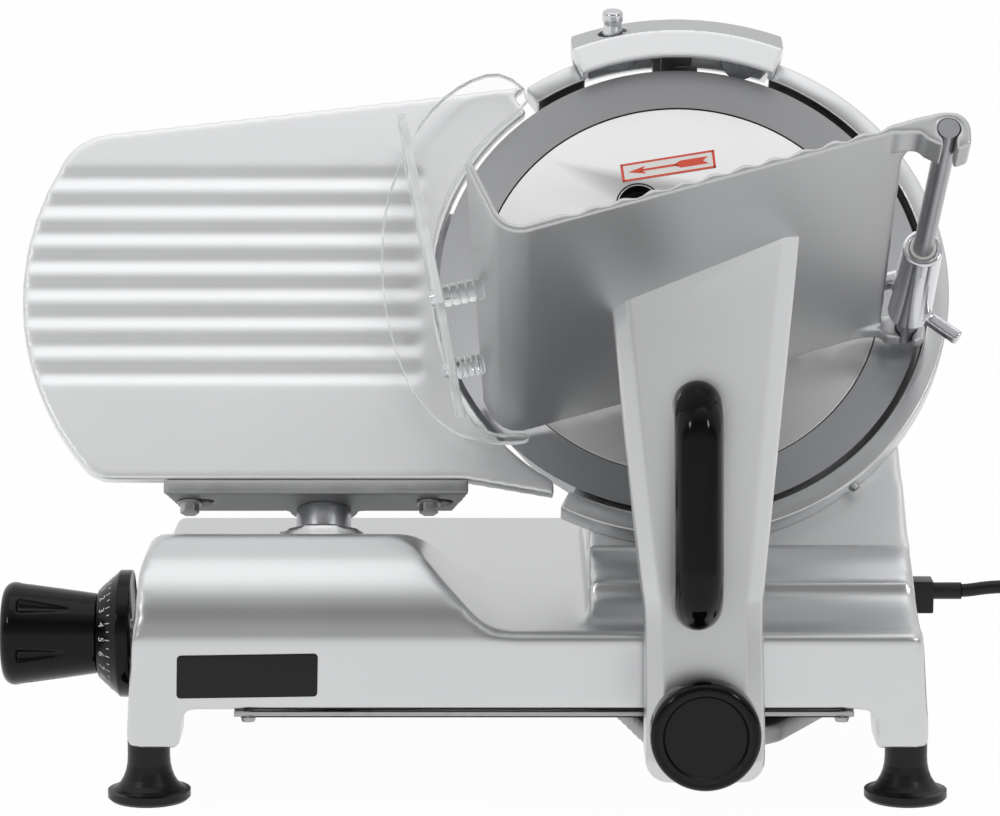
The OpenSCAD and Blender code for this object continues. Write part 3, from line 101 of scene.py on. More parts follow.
def smooth_path(points, steps):
    """A smooth run of points through the given ones."""
    run = []
    for i in range(len(points) - 1):
        a, b, c, d = (points[max(0, min(len(points) - 1, i + k))] for k in (-1, 0, 1, 2))
        for k in range(steps):
            t = k / steps
            run.append(tuple(
                0.5 * (2 * q + (r - p) * t + (2 * p - 5 * q + 4 * r - s) * t * t
                       + (3 * q - p - 3 * r + s) * t ** 3)
                for p, q, r, s in zip(a, b, c, d)))
    run.append(tuple(points[-1]))
    return run


# Camera, at the photograph's place
LENS, SENSOR, CAMERA_AT, CAMERA_DOWN = 153.83, 36, (-93.6, -2040.4, 537.8), math.radians(9.41)
camera = bpy.data.cameras.new("front_view")
camera.sensor_fit = "HORIZONTAL"
camera.sensor_width = SENSOR
camera.lens = LENS
camera.clip_end = 100
camera_object = bpy.data.objects.new("front_view", camera)
camera_object.location = at(*CAMERA_AT)
camera_object.rotation_euler = (math.pi / 2 - CAMERA_DOWN, 0, 0)
bpy.context.scene.collection.objects.link(camera_object)
bpy.context.scene.camera = camera_object


def link(obj):
    bpy.context.scene.collection.objects.link(obj)
    return obj


def srgb(text):
    """A hex colour as linear red, green, blue and alpha."""
    channels = [int(text[i:i + 2], 16) / 255 for i in (1, 3, 5)]
    return tuple(c / 12.92 if c <= 0.04045 else ((c + 0.055) / 1.055) ** 2.4 for c in channels) + (1.0,)


def add(tree, kind, settings=None, sockets=None, links=None):
    """Adds a node with its settings and socket values, and links {its input: another node's output}."""
    node = tree.nodes.new(kind)
    for name, value in (settings or {}).items():
        setattr(node, name, value)
    for name, value in (sockets or {}).items():
        node.inputs[name].default_value = value
    for name, source in (links or {}).items():
        tree.links.new(source, node.inputs[name])
    return node


def material(name, colour, **sockets):
    """A new material with one shader; returns the material, its tree and the shader."""
    made = bpy.data.materials.new(name)
    made.use_nodes = True
    tree = made.node_tree
    shader = tree.nodes["Principled BSDF"]
    shader.inputs["Base Color"].default_value = srgb(colour)
    for socket, value in sockets.items():
        shader.inputs[socket.replace("_", " ")].default_value = value
    made.diffuse_color = srgb(colour)
    return made, tree, shader


def vary(tree, shader, source, ends, low, high, tones):
    """Spreads a pattern's values between its ends over roughness from low to high, and over two tones."""
    rough = add(tree, "ShaderNodeMapRange", None, {
        "From Min": ends[0], "From Max": ends[1], "To Min": low, "To Max": high}, {"Value": source})
    tree.links.new(rough.outputs[0], shader.inputs["Roughness"])
    if tones:
        ramp = add(tree, "ShaderNodeValToRGB", None, None, {"Fac": source})
        for stop, place, tone in zip(ramp.color_ramp.elements, ends, tones):
            stop.position, stop.color = place, srgb(tone)
        tree.links.new(ramp.outputs[0], shader.inputs["Base Color"])


PATCH_ENDS, RING_ENDS = (0.1, 0.9), (0.25, 0.75)


def mottle(tree, shader, size_mm, low, high, tones=None, grain_mm=0.6, bump_mm=0.03):
    """Uneven polish: roughness from low to high over patches, a slight tone change and a fine grain."""
    place = add(tree, "ShaderNodeTexCoord")
    patch = add(tree, "ShaderNodeTexNoise", None, {
        "Scale": 1000 / size_mm, "Detail": 2.0, "Roughness": 0.5}, {"Vector": place.outputs["Object"]})
    vary(tree, shader, patch.outputs["Fac"], PATCH_ENDS, low, high, tones)
    grain = add(tree, "ShaderNodeTexNoise", None, {"Scale": 1000 / grain_mm, "Detail": 2.0},
                {"Vector": place.outputs["Object"]})
    bump = add(tree, "ShaderNodeBump", None, {"Strength": 0.5, "Distance": bump_mm * MM},
               {"Height": grain.outputs["Fac"]})
    tree.links.new(bump.outputs[0], shader.inputs["Normal"])


def grind(tree, shader, line_mm, low, high, tones, bump_mm=0.02):
    """Fine rings about the knife axis, as a spun or ground face has."""
    place = add(tree, "ShaderNodeTexCoord")
    centre = add(tree, "ShaderNodeMapping", {"vector_type": "TEXTURE"},
                 {"Location": on_knife(0, 0, 0), "Rotation": (math.pi / 2 - TILT, 0, 0)},
                 {"Vector": place.outputs["Object"]})
    flat = add(tree, "ShaderNodeVectorMath", {"operation": "MULTIPLY"}, {1: (1, 1, 0)},
               {0: centre.outputs[0]})
    radius = add(tree, "ShaderNodeVectorMath", {"operation": "LENGTH"}, None, {0: flat.outputs[0]})
    rings = add(tree, "ShaderNodeTexNoise", {"noise_dimensions": "1D"},
                {"Scale": 1000 / line_mm, "Detail": 3.0, "Roughness": 0.7}, {"W": radius.outputs["Value"]})
    vary(tree, shader, rings.outputs["Fac"], RING_ENDS, low, high, tones)
    bump = add(tree, "ShaderNodeBump", None, {"Strength": 0.35, "Distance": bump_mm * MM},
               {"Height": rings.outputs["Fac"]})
    tree.links.new(bump.outputs[0], shader.inputs["Normal"])


# Cast aluminium, linished and buffed: soft wide reflections with slightly uneven polish
cast_aluminium, tree, shader = material("cast_aluminium_buffed", "#D3D4D5", Metallic=1.0)
mottle(tree, shader, 70, 0.285, 0.325, ("#D0D1D2", "#D6D7D8"), 0.5, 0.01)
# Blasted faces of the gauge plate, column and sharpener: bright but matt, so ribs shade softly
cast_satin, tree, shader = material("cast_aluminium_blasted", "#EDEEEF", Metallic=1.0)
mottle(tree, shader, 90, 0.44, 0.50, ("#EBECED", "#EFF0F1"), 0.6, 0.015)
# Brackets left as cast: grey and dull
cast_raw, tree, shader = material("cast_aluminium_raw", "#A4A5A5", Metallic=1.0)
mottle(tree, shader, 14, 0.42, 0.56, ("#9A9B9B", "#AEAFAF"), 0.7, 0.06)
# Sanded faces of the tray and motor: duller, with no clear reflection. On the sharpener's top the same grey
# is painted shade, darker on the faces that look up
cast_sanded_and_painted_shade, tree, shader = material("cast_aluminium_sanded_and_painted_shade", "#C6C7C8", Metallic=1.0)
mottle(tree, shader, 80, 0.40, 0.46, ("#C3C4C5", "#C9CACB"), 0.6, 0.015)
# Tool steel, ground round the axis: a clear grey, with fine rings that stretch each highlight
knife_steel, tree, shader = material("tool_steel_ground", "#C0C1C3", Metallic=1.0)
grind(tree, shader, 0.5, 0.285, 0.315, ("#BDBEC0", "#C3C4C6"), 0.004)
# Spun aluminium, matt anodised: nearly white, with faint rings
spun_aluminium, tree, shader = material("spun_aluminium_matt", "#DEDEDE", Metallic=1.0)
grind(tree, shader, 1.6, 0.34, 0.40, ("#DCDCDC", "#E0E0E0"), 0.004)
# Machined steel, turned: satin grey
bright_steel, tree, shader = material("machined_steel", "#A9AAAD", Metallic=1.0)
mottle(tree, shader, 12, 0.30, 0.38, ("#A2A3A6", "#B0B1B4"), 0.5, 0.02)
# Chromed steel: a clear mirror with a slight haze
chrome, tree, shader = material("chrome_plate", "#D2D3D6", Metallic=1.0)
mottle(tree, shader, 18, 0.13, 0.19, ("#CECFD2", "#D6D7DA"), 0.8, 0.01)
# Zinc plated screws: dull silver
zinc, tree, shader = material("zinc_plate", "#A9AAAA", Metallic=1.0)
mottle(tree, shader, 5, 0.28, 0.42, ("#9C9D9D", "#B6B7B7"), 0.4, 0.02)
# Phenolic moulding, black and glossy, with a faint flow in the gloss
black_phenolic, tree, shader = material("phenolic_black", "#070708", IOR=1.5, Specular_IOR_Level=0.2)
mottle(tree, shader, 24, 0.10, 0.15, ("#060607", "#09090A"), 1.2, 0.006)
# The same moulding where the tool was sparked: matt black
black_matt, tree, shader = material("phenolic_black_matt", "#141415", IOR=1.5, Specular_IOR_Level=0.25)
mottle(tree, shader, 9, 0.46, 0.56, ("#141415", "#19191A"), 0.5, 0.02)
# Vulcanised rubber: dark and dull, with a soft grain
rubber, tree, shader = material("rubber_black", "#0F0F10", IOR=1.52, Specular_IOR_Level=0.3)
mottle(tree, shader, 8, 0.30, 0.42, ("#0D0D0E", "#131314"), 0.5, 0.03)
# Soft PVC of the lead: dull with a slight sheen
cord_pvc, tree, shader = material("pvc_black", "#0F0F0F", IOR=1.53, Specular_IOR_Level=0.3)
mottle(tree, shader, 15, 0.32, 0.44, ("#0D0D0D", "#131313"), 0.6, 0.03)
# Polycarbonate, clear: bright along cut edges, thin enough to bend the view only a little
polycarbonate, tree, shader = material(
    "polycarbonate_clear", "#FEFEFE", IOR=1.04, Transmission_Weight=1.0, Coat_Weight=0.6,
    Coat_Roughness=0.04)
mottle(tree, shader, 30, 0.02, 0.05, None, 2.0, 0.002)
# The same sheet's cut edges, which gather light and show as bright and dark lines
polycarbonate_edge, tree, shader = material(
    "polycarbonate_cut_edge", "#F6F9F9", IOR=1.5, Transmission_Weight=0.5, Coat_Weight=0.6,
    Coat_Roughness=0.05)
mottle(tree, shader, 12, 0.10, 0.18, None, 1.0, 0.01)
# Thicker clear mouldings, where the view bends more
polycarbonate_ridged, tree, shader = material(
    "polycarbonate_moulded", "#F4F6F6", IOR=1.3, Transmission_Weight=1.0)
mottle(tree, shader, 12, 0.03, 0.08, None, 1.0, 0.004)
# Vitrified grit of the sharpening stones
grit, tree, shader = material("aluminium_oxide_grit", "#7C7F84", IOR=1.7)
mottle(tree, shader, 2.2, 0.8, 0.95, ("#686B70", "#92959A"), 0.7, 0.3)
# Acetal bush: white and waxy
acetal, tree, shader = material("acetal_white", "#D8D8D4", IOR=1.48)
mottle(tree, shader, 6, 0.3, 0.4, ("#D2D2CE", "#DEDEDA"), 0.6, 0.01)
# Moulded switch keys
key_green, tree, shader = material("abs_green", "#2C7A3A", IOR=1.53)
mottle(tree, shader, 6, 0.3, 0.4, ("#286F35", "#308541"), 0.5, 0.02)
key_red, tree, shader = material("abs_red", "#B02A24", IOR=1.53)
mottle(tree, shader, 6, 0.3, 0.4, ("#A42520", "#BA302A"), 0.5, 0.02)
# Printed marks: ink lies flat and slightly dull
print_white, tree, shader = material("ink_white", "#DADAD8", IOR=1.45)
mottle(tree, shader, 4, 0.4, 0.5, ("#D4D4D2", "#E0E0DE"), 0.4, 0.01)
print_red, tree, shader = material("ink_red", "#E4583F", IOR=1.45)
mottle(tree, shader, 4, 0.4, 0.5, ("#E0523A", "#E86046"), 0.4, 0.01)
print_paper, tree, shader = material("vinyl_white", "#F2F0EE", IOR=1.45)
mottle(tree, shader, 6, 0.35, 0.45, ("#EFEDEB", "#F5F3F1"), 0.6, 0.01)
# Anodised name plate, left bare: black and satin
plate_black, tree, shader = material("anodised_plate_black", "#121213", IOR=1.5, Specular_IOR_Level=0.3)
mottle(tree, shader, 16, 0.3, 0.38, ("#101011", "#151516"), 0.6, 0.02)

SLOT_OF = {
    "cast_aluminium": cast_aluminium, "knife_steel": knife_steel, "bright_steel": bright_steel,
    "disc_alloy": spun_aluminium, "black_plastic": black_phenolic, "black_rubber": rubber,
    "clear_plastic": polycarbonate, "abrasive_stone": grit, "green_plastic": key_green,
    "red_plastic": key_red, "white_plastic": acetal,
}
SLOT_BY_NODE = {row["node"]: row["material_slot"] for row in frame["record"]["subparts"]}
OWN_FINISH = {
    "pusher": chrome, "honing_button": chrome, "cover_screws": zinc, "knife_screws": zinc,
    "gauge_bolts": zinc, "tray": cast_sanded_and_painted_shade, "cord_gland": rubber, "bottom_cover": zinc,
    "slice_deflector": bright_steel,
    "motor": cast_sanded_and_painted_shade, "gauge_plate": cast_satin, "gauge_bracket": cast_raw, "carriage_bracket": cast_raw,
    "sharpener_base": cast_raw, "sharpener_cover": cast_satin, "knife_column": cast_satin,
}


def finish_of(node):
    return OWN_FINISH.get(node) or SLOT_OF[SLOT_BY_NODE[node]]


for name, obj in frame["nodes"].items():
    obj.data.materials.clear()
    obj.data.materials.append(finish_of(name))


def as_piece(name, bm, finishes, body, stands_for=(), smooth=32):
    """Turns a bmesh into a finished piece that rides on a body."""
    mesh = bpy.data.meshes.new(name)
    bm.normal_update()
    bm.to_mesh(mesh)
    bm.free()
    for finish in finishes if isinstance(finishes, (list, tuple)) else [finishes]:
        mesh.materials.append(finish)
    return finished(name, mesh, body, stands_for, smooth)


def finished(name, mesh, body, stands_for=(), smooth=32):
    """Shows a mesh that has its materials, and seats it on a body."""
    for polygon in mesh.polygons:
        polygon.use_smooth = True
    mesh.set_sharp_from_angle(angle=math.radians(smooth))
    obj = link(bpy.data.objects.new(name, mesh))
    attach(obj, body)
    if stands_for:
        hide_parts(*stands_for)
    return obj


def body_of_node(node):
    return frame["nodes"][node]["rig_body"]


def merged_copy(node):
    """A joined-up copy of a CAD node's mesh."""
    source = frame["nodes"][node].data
    bm = bmesh.new()
    corners = [bm.verts.new(v.co) for v in source.vertices]
    for polygon in source.polygons:
        bm.faces.new([corners[i] for i in polygon.vertices])
    bmesh.ops.remove_doubles(bm, verts=bm.verts, dist=2e-6)
    bmesh.ops.dissolve_degenerate(bm, edges=bm.edges, dist=1e-6)
    return bm


def round_edges(bm, width_mm, segments=3, angle=30):
    """Rounds the sharp edges, apart from those with no room for it beside them."""
    bmesh.ops.dissolve_limit(bm, angle_limit=math.radians(0.6), verts=bm.verts, edges=bm.edges)
    sharp = {e for e in bm.edges if len(e.link_faces) == 2 and e.calc_face_angle(0) > math.radians(angle)}
    room = 2.1 * width_mm * MM
    roomy = [
        e for e in sharp
        if all(other in sharp or other.calc_length() > room for v in e.verts for other in v.link_edges)]
    bmesh.ops.bevel(
        bm, geom=roomy, offset=width_mm * MM, offset_type="OFFSET", segments=segments, profile=0.5,
        affect="EDGES", clamp_overlap=False, loop_slide=True, miter_outer="ARC")
    bmesh.ops.remove_doubles(bm, verts=bm.verts, dist=2e-6)


def evaluated_mesh(obj):
    """What an object's modifiers make of it, as a plain mesh."""
    depsgraph = bpy.context.evaluated_depsgraph_get()
    return bpy.data.meshes.new_from_object(obj.evaluated_get(depsgraph), depsgraph=depsgraph)


LEVEL = Matrix()
KNIFE_LEVEL = Matrix.Rotation(TILT - math.pi / 2, 4, "X")


def soft_cast(bm, grain_mm, passes, share=1.0, level=LEVEL):
    """One skin over solids that meet, with every edge softened as casting and linishing leave it."""
    bm.transform(level)
    mesh = bpy.data.meshes.new("casting")
    bm.to_mesh(mesh)
    bm.free()
    blank = link(bpy.data.objects.new("casting", mesh))
    skin = blank.modifiers.new("skin", "REMESH")
    skin.mode, skin.voxel_size = "VOXEL", grain_mm * MM
    softened = bmesh.new()
    softened.from_mesh(evaluated_mesh(blank))
    for _ in range(passes):
        bmesh.ops.smooth_vert(
            softened, verts=softened.verts, factor=0.5, use_axis_x=True, use_axis_y=True, use_axis_z=True)
    if share < 1:
        blank.modifiers.clear()
        softened.to_mesh(mesh)
        softened.free()
        blank.modifiers.new("thin", "DECIMATE").ratio = share
        softened = bmesh.new()
        softened.from_mesh(evaluated_mesh(blank))
    bpy.data.objects.remove(blank)
    softened.transform(level.inverted())
    return softened


def prism(outline, low, high, place):
    """A straight solid from a flat outline; place turns (x, y, height) into a point."""
    bm = bmesh.new()
    rings = [[bm.verts.new(place(x, y, h)) for x, y in outline] for h in (low, high)]
    bm.faces.new(rings[0][::-1])
    bm.faces.new(rings[1])
    count = len(outline)
    for i in range(count):
        j = (i + 1) % count
        bm.faces.new((rings[0][i], rings[0][j], rings[1][j], rings[1][i]))
    bmesh.ops.recalc_face_normals(bm, faces=bm.faces)
    return bm


def loft(sections):
    """A solid through closed sections with the same count of points."""
    bm = bmesh.new()
    rings = [[bm.verts.new(p) for p in section] for section in sections]
    count = len(rings[0])
    for a, b in zip(rings, rings[1:]):
        for i in range(count):
            j = (i + 1) % count
            bm.faces.new((a[i], a[j], b[j], b[i]))
    bm.faces.new(rings[0][::-1])
    bm.faces.new(rings[-1])
    bmesh.ops.recalc_face_normals(bm, faces=bm.faces)
    return bm


def turned(profile, place, steps=48):
    """A turned solid: profile points are (radius, height) from foot to top, place seats it."""
    rings = []
    for radius, height in profile:
        rings.append([place @ Vector((radius * math.cos(a), radius * math.sin(a), height))
                      for a in (2 * math.pi * i / steps for i in range(steps))])
    return loft(rings)


def join(bm, other):
    """Adds another bmesh to the first."""
    mesh = bpy.data.meshes.new("join")
    other.to_mesh(mesh)
    other.free()
    bm.from_mesh(mesh)
    bpy.data.meshes.remove(mesh)
    return bm


# Mains lead: out of the gland, down to the table and into a tied coil
LEAD = [
    (141, 140, 80), (150, 140, 80.3), (160, 140, 81.6), (170, 140, 82), (180, 141, 80), (189, 143, 75),
    (196, 146, 67), (201, 149, 57), (205, 152, 46), (209, 155, 35), (214, 158, 24.6), (221, 161, 15.4),
    (229, 163.6, 9.8), (237, 165.4, 6.5), (243, 166, 5.3), (249, 166, 5.2)]
CORD_D, COIL_AT, COIL_OUT, COIL_PITCH, COIL_TURNS = 7.0, (256.0, 218.0), 52.0, 7.8, 6
COIL_Z, COIL_CLIMB, TAIL_TURN, PLUG_Z = 5.2, 7.7, 0.22, 17.0


def ease(t):
    t = min(1.0, max(0.0, t))
    return t * t * (3 - 2 * t)


def coil_point(t):
    tail = ease((t - COIL_TURNS) / TAIL_TURN)
    radius = COIL_OUT - COIL_PITCH * min(t, COIL_TURNS - t) if t <= COIL_TURNS else COIL_OUT + 10 * tail
    climb = COIL_CLIMB * ease((t - COIL_TURNS / 2 + 0.25) * 2)
    height = COIL_Z + climb + (PLUG_Z - COIL_Z - COIL_CLIMB) * tail
    angle = 2 * math.pi * t
    return (COIL_AT[0] + radius * math.sin(angle), COIL_AT[1] - radius * math.cos(angle), height)


coil_end = COIL_TURNS + TAIL_TURN
coil_run = [coil_point(min(i / 48, coil_end)) for i in range(48 * COIL_TURNS + 12)]
last, before = Vector(coil_point(coil_end)), Vector(coil_point(coil_end - 0.01))
tail_way = Vector((last.x - before.x, last.y - before.y, 0)).normalized()
cord_run = smooth_path(LEAD, 4) + coil_run + [tuple(last + tail_way * CORD_D)]
cord_curve = bpy.data.curves.new("mains_cord", "CURVE")
cord_curve.dimensions = "3D"
cord_curve.bevel_depth = CORD_D / 2 * MM
cord_curve.bevel_resolution = 4
cord_curve.use_fill_caps = True
spline = cord_curve.splines.new("POLY")
kept = [at(*cord_run[0])]
for point in cord_run[1:]:
    if (at(*point) - kept[-1]).length > 0.8 * MM:
        kept.append(at(*point))
spline.points.add(len(kept) - 1)
for spot, point in zip(spline.points, kept):
    spot.co = (*point, 1)
spline.use_smooth = True
cord_curve.materials.append(cord_pvc)
cord = link(bpy.data.objects.new("mains_cord", cord_curve))
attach(cord, "base")
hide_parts("cord_lead", "cord_coil")

# Castings with softened edges: grain of the skin in mm, smoothing passes, share of faces kept, way up
SOFT_CAST = {
    "base_casting": (2.5, 4, 1.0, LEVEL), "knife_column": (2.2, 5, 0.6, KNIFE_LEVEL),
    "gauge_plate": (1.5, 6, 0.6, KNIFE_LEVEL), "gauge_bracket": (1.3, 3, 1.0, KNIFE_LEVEL),
    "carriage_bracket": (2.2, 4, 0.6, LEVEL),
    "motor_cover": (1.8, 4, 0.7, LEVEL), "handle": (0.9, 4, 1.0, LEVEL),
    "pusher": (0.8, 3, 0.7, KNIFE_LEVEL), "index_knob": (0.6, 4, 0.8, LEVEL),
}
for name, cast in SOFT_CAST.items():
    as_piece(name + "_cast", soft_cast(merged_copy(name), *cast), finish_of(name), body_of_node(name),
             (name,), 50)

# Sharpener cover: blasted on its slope, with painted shade on top, where the faces that look up take the
# darker sanded grey
bm = soft_cast(merged_copy("sharpener_cover"), 0.6, 3, 0.6, KNIFE_LEVEL)
bm.normal_update()
# Faces whose normal looks up past this get the darker grey as painted shade
SHADED_TOP_FACING = 0.75
for face in bm.faces:
    face.material_index = int(face.normal.z > SHADED_TOP_FACING)
as_piece("sharpener_cover_cast", bm, [cast_satin, cast_sanded_and_painted_shade], body_of_node("sharpener_cover"),
         ("sharpener_cover",), 50)

# Mouldings and turned pieces with a rounded edge, in mm
ROUNDED = {
    "guard_ring": 1.2, "slide_block": 0.8, "switch_box": 0.6, "cord_gland": 0.8, "plug": 0.8,
    "coil_tie": 0.3, "disc_knob": 1.0, "gauge_post": 0.5, "index_dial": 0.5, "start_button": 0.8,
    "stop_button": 0.8, "grinding_button": 1.0, "cover_disc": 0.4, "knife_hub": 0.6, "bottom_cover": 0.6,
    "slice_deflector": 0.5, "motor": 1.5, "gauge_bolts": 0.4, "grinding_stone": 0.8,
}
for name, width in ROUNDED.items():
    bm = merged_copy(name)
    round_edges(bm, width)
    as_piece(
        name + "_rounded", bm, finish_of(name), body_of_node(name), (name,))

# Hand guard: clear sheet with cut edges
SHEET_AREA = 400 * MM * MM
bm = merged_copy("hand_guard")
round_edges(bm, 0.8)
for face in bm.faces:
    face.material_index = int(face.calc_area() < SHEET_AREA)
as_piece("hand_guard_rounded", bm, [polycarbonate, polycarbonate_edge], body_of_node("hand_guard"),
         ("hand_guard",))

# Lock knob: glossy rim round a matt face
KNOB_FACE_DEPTH, KNOB_FACE_R = 2.2 * MM, 19.5 * MM
bm = merged_copy("lock_knob")
round_edges(bm, 0.8)
knob_low, knob_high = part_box("lock_knob")
knob_mid = (knob_low + knob_high) / 2
for face in bm.faces:
    middle = face.calc_center_median()
    near = middle.y < knob_low.y + KNOB_FACE_DEPTH
    radius = math.hypot(middle.x - knob_mid.x, middle.z - knob_mid.z)
    face.material_index = int(near and radius < KNOB_FACE_R)
as_piece("lock_knob_moulded", bm, [black_phenolic, black_matt], body_of_node("lock_knob"),
         ("lock_knob",))

# Tray: folded casting with a ribbed floor, a split ear for the pusher rod and a lug at its far end
TRAY_CORNER, TRAY_SLOPE, TRAY_WALL = (-93, -87), math.radians(16.6), 98
FOLD_R, TRAY_T, TRAY_LOW, TRAY_HIGH = 16, 4, 5, 247
FOLD_C = (FOLD_R / math.tan(math.radians(TRAY_WALL / 2)), FOLD_R)
ROD = (214.4, -5.5)
TRAY_LONG, TRAY_TAPER, SIDE_HIGH, SIDE_RISE = 203, 8, 24, 18
FLARE_FROM, FLARE_RUN, FLARE_REACH = 208, 17, 11
RIB_FROM, RIB_TO, RIB_PITCH, RIB_HALF, RIB_STEPS = 30, 190, 14.5, 1.1, 88


def on_tray(x, y, w):
    """A point along and off the tray floor's underside, and out from the knife."""
    u = TRAY_CORNER[0] + x * math.cos(TRAY_SLOPE) - y * math.sin(TRAY_SLOPE)
    v = TRAY_CORNER[1] + x * math.sin(TRAY_SLOPE) + y * math.cos(TRAY_SLOPE)
    return on_knife(u, v, w)


def tray_section(w):
    t = (w - TRAY_LOW) / (TRAY_HIGH - TRAY_LOW)
    length = TRAY_LONG - TRAY_TAPER * t
    if w > FLARE_FROM:
        length += FLARE_REACH * (1 - math.sqrt(max(0, 1 - min(1, (w - FLARE_FROM) / FLARE_RUN) ** 2)))
    height = SIDE_HIGH + SIDE_RISE * t
    turn = 90 + TRAY_WALL
    lean = math.radians(TRAY_WALL)
    side = (math.sin(lean), -math.cos(lean))
    top = (math.cos(lean) * (height - 2) + 2 * side[0], math.sin(lean) * (height - 2) + 2 * side[1])
    points = [(length - 1, 0)]
    points += arc(FOLD_C, FOLD_R, 270, turn, 10)
    points += arc(top, 2, turn, turn - 180, 6)
    points += arc(FOLD_C, FOLD_R - TRAY_T, turn, 270, 10)
    for i in range(1, RIB_STEPS + 1):
        x = FOLD_C[0] + (length - 1 - FOLD_C[0]) * i / RIB_STEPS
        wave = 2 * RIB_HALF
        if RIB_FROM < x < RIB_TO:
            wave = RIB_HALF * (1 + math.cos(2 * math.pi * (x - RIB_FROM) / RIB_PITCH))
        points.append((x, TRAY_T - 2.0 + wave))
    points += arc((length - 1, 2.1), 2.1, 80, -80, 5)
    return [on_tray(x, y, w) for x, y in points]


def rod_ear(low, high, reach):
    """Hooked ear round the pusher rod: a hole with a slit below it between two jaws."""
    down = (-math.sin(TRAY_SLOPE), -math.cos(TRAY_SLOPE))
    drop = -90 - math.degrees(TRAY_SLOPE)
    hole, half = 5.3, math.degrees(math.asin(3 / 5.3))
    around = arc(ROD, hole, drop + half, drop - half + 360, 20)
    right, left = around[0], around[-1]
    outline = [
        (188, 0.3), (188, 4.0), (206, 4.0), (214.5, 3.6), (219.6, 2.0), (222.9, -1.0), (224.3, -4.8),
        (224.1, -9), (222, -9 - reach), (221, -9.8 - reach),
        (right[0] + down[0] * reach, right[1] + down[1] * reach)]
    outline += around
    outline += [
        (left[0] + down[0] * (reach - 2), left[1] + down[1] * (reach - 2)),
        (203, -7.6), (202, -5), (200, -3.2), (196.5, -2.2), (192, -1.4)]
    return prism(outline, low, high, on_tray)


stations = [5, 6] + [20 + 47 * i for i in range(5)] + [211 + 2.5 * i for i in range(6)] + [226, 246, 247]
bm = loft([tray_section(w) for w in stations])
for low, high, reach in ((225, 247, 6.5), (8, 18, 4)):
    join(bm, rod_ear(low, high, reach))
as_piece("tray_ribbed", soft_cast(bm, 1.15, 3, 0.75, KNIFE_LEVEL), cast_sanded_and_painted_shade, "carriage",
         ("tray",), 50)

# Arm: raised flat face between bevelled flanks, twisted a little towards the tray and cut off under it
ARM_FRONT, ARM_REAR, ARM_LEAN = -42, -8, 0.1875


def arm_face(z):
    return ARM_FRONT + (z - 22) * ARM_LEAN


def arm_rear(z):
    return ARM_REAR if z < 135 else ARM_REAR + (z - 135) * (arm_face(300) + 16 - ARM_REAR) / 165


def arm_twist(x, z):
    return (5 - 19 * (x + 45) / 97) * max(0.0, (z - 130) / 150) ** 1.5


arm_left = smooth_path([(-23.5, 34), (-23.6, 70), (-24.2, 104), (-27.5, 130), (-41, 258), (-45, 300)], 6)
arm_right = smooth_path([(34.5, 34), (34.2, 70), (33.6, 104), (36, 130), (50.5, 280), (52.5, 300)], 6)


def arm_outline(inset):
    left = [(x + inset, z) for x, z in arm_left]
    right = [(x - inset, z) for x, z in arm_right]
    r = 11 - inset
    corner_left = arc((left[0][0] + r, 22 + inset + r), r, 180, 270, 6)
    corner_right = arc((right[0][0] - r, 22 + inset + r), r, 270, 360, 6)
    return corner_left + corner_right + right + left[::-1]


def arm_ring(inset, depth):
    return [at(x, depth(z) + arm_twist(x, z), z) for x, z in arm_outline(inset)]


# Insets and depths of the rounded bevel, from the face to the flank
ARM_EDGE = (
    (10.5, 0), (9.0, 0), (8.2, 0.1), (7.5, 0.45), (6.9, 0.9), (2.0, 4.6), (1.2, 5.3), (0.5, 6.3), (0.1, 7.4),
    (0, 8.4))
arm_rings = [
    arm_ring(inset, lambda z: min(arm_face(z) + depth, arm_rear(z) - 2)) for inset, depth in ARM_EDGE]
arm_rings.append(arm_ring(0, arm_rear))
bm = loft(arm_rings)
# Faces run in strips from side to side, so that the slight twist shades evenly
bm.faces.ensure_lookup_table()
bmesh.ops.delete(bm, geom=bm.faces[-2:], context="FACES_ONLY")
bm.verts.ensure_lookup_table()
around = len(arm_rings[0])
corners = 2 * (6 + 1)
rungs = (around - corners) // 2
for start in (0, around * (len(arm_rings) - 1)):
    ring = bm.verts[start:start + around]
    left = ring[corners + rungs:] + ring[:corners // 2]
    right = ring[corners // 2:corners + rungs][::-1]
    for i in range(len(left) - 1):
        bm.faces.new((left[i], left[i + 1], right[i + 1], right[i]))
bmesh.ops.recalc_face_normals(bm, faces=bm.faces)
tray_under = (on_tray(0, 1, 0) - on_tray(0, 0, 0)).normalized()
cut = bmesh.ops.bisect_plane(
    bm, geom=bm.verts[:] + bm.edges[:] + bm.faces[:], plane_co=on_tray(0, 0.2, 0), plane_no=tray_under,
    clear_outer=True)
bmesh.ops.contextual_create(bm, geom=[e for e in cut["geom_cut"] if isinstance(e, bmesh.types.BMEdge)])
as_piece("carriage_arm_cast", bm, cast_aluminium, "carriage", ("carriage_arm",), 40)

# Sharpener button: chromed, waisted below a rounded cap
slant = math.radians(45)
stone_way = UP * math.sin(slant) + OUT * math.cos(slant)
BUTTON_AT = (-34, 134.7, -2.5)
button_seat = seated(on_knife(*BUTTON_AT), ACROSS, stone_way.cross(ACROSS))
bm = turned([
    (3, -1), (3, 12), (5.3, 12), (5.4, 14), (4.9, 16.5), (4.7, 18), (5.1, 19.4), (5.5, 20.2), (5.5, 23.4),
    (5.2, 24.6), (4.4, 25.3), (3, 25.5)], button_seat)
as_piece("honing_button_turned", bm, chrome, body_of_node("honing_button"),
         ("honing_button",), 40)

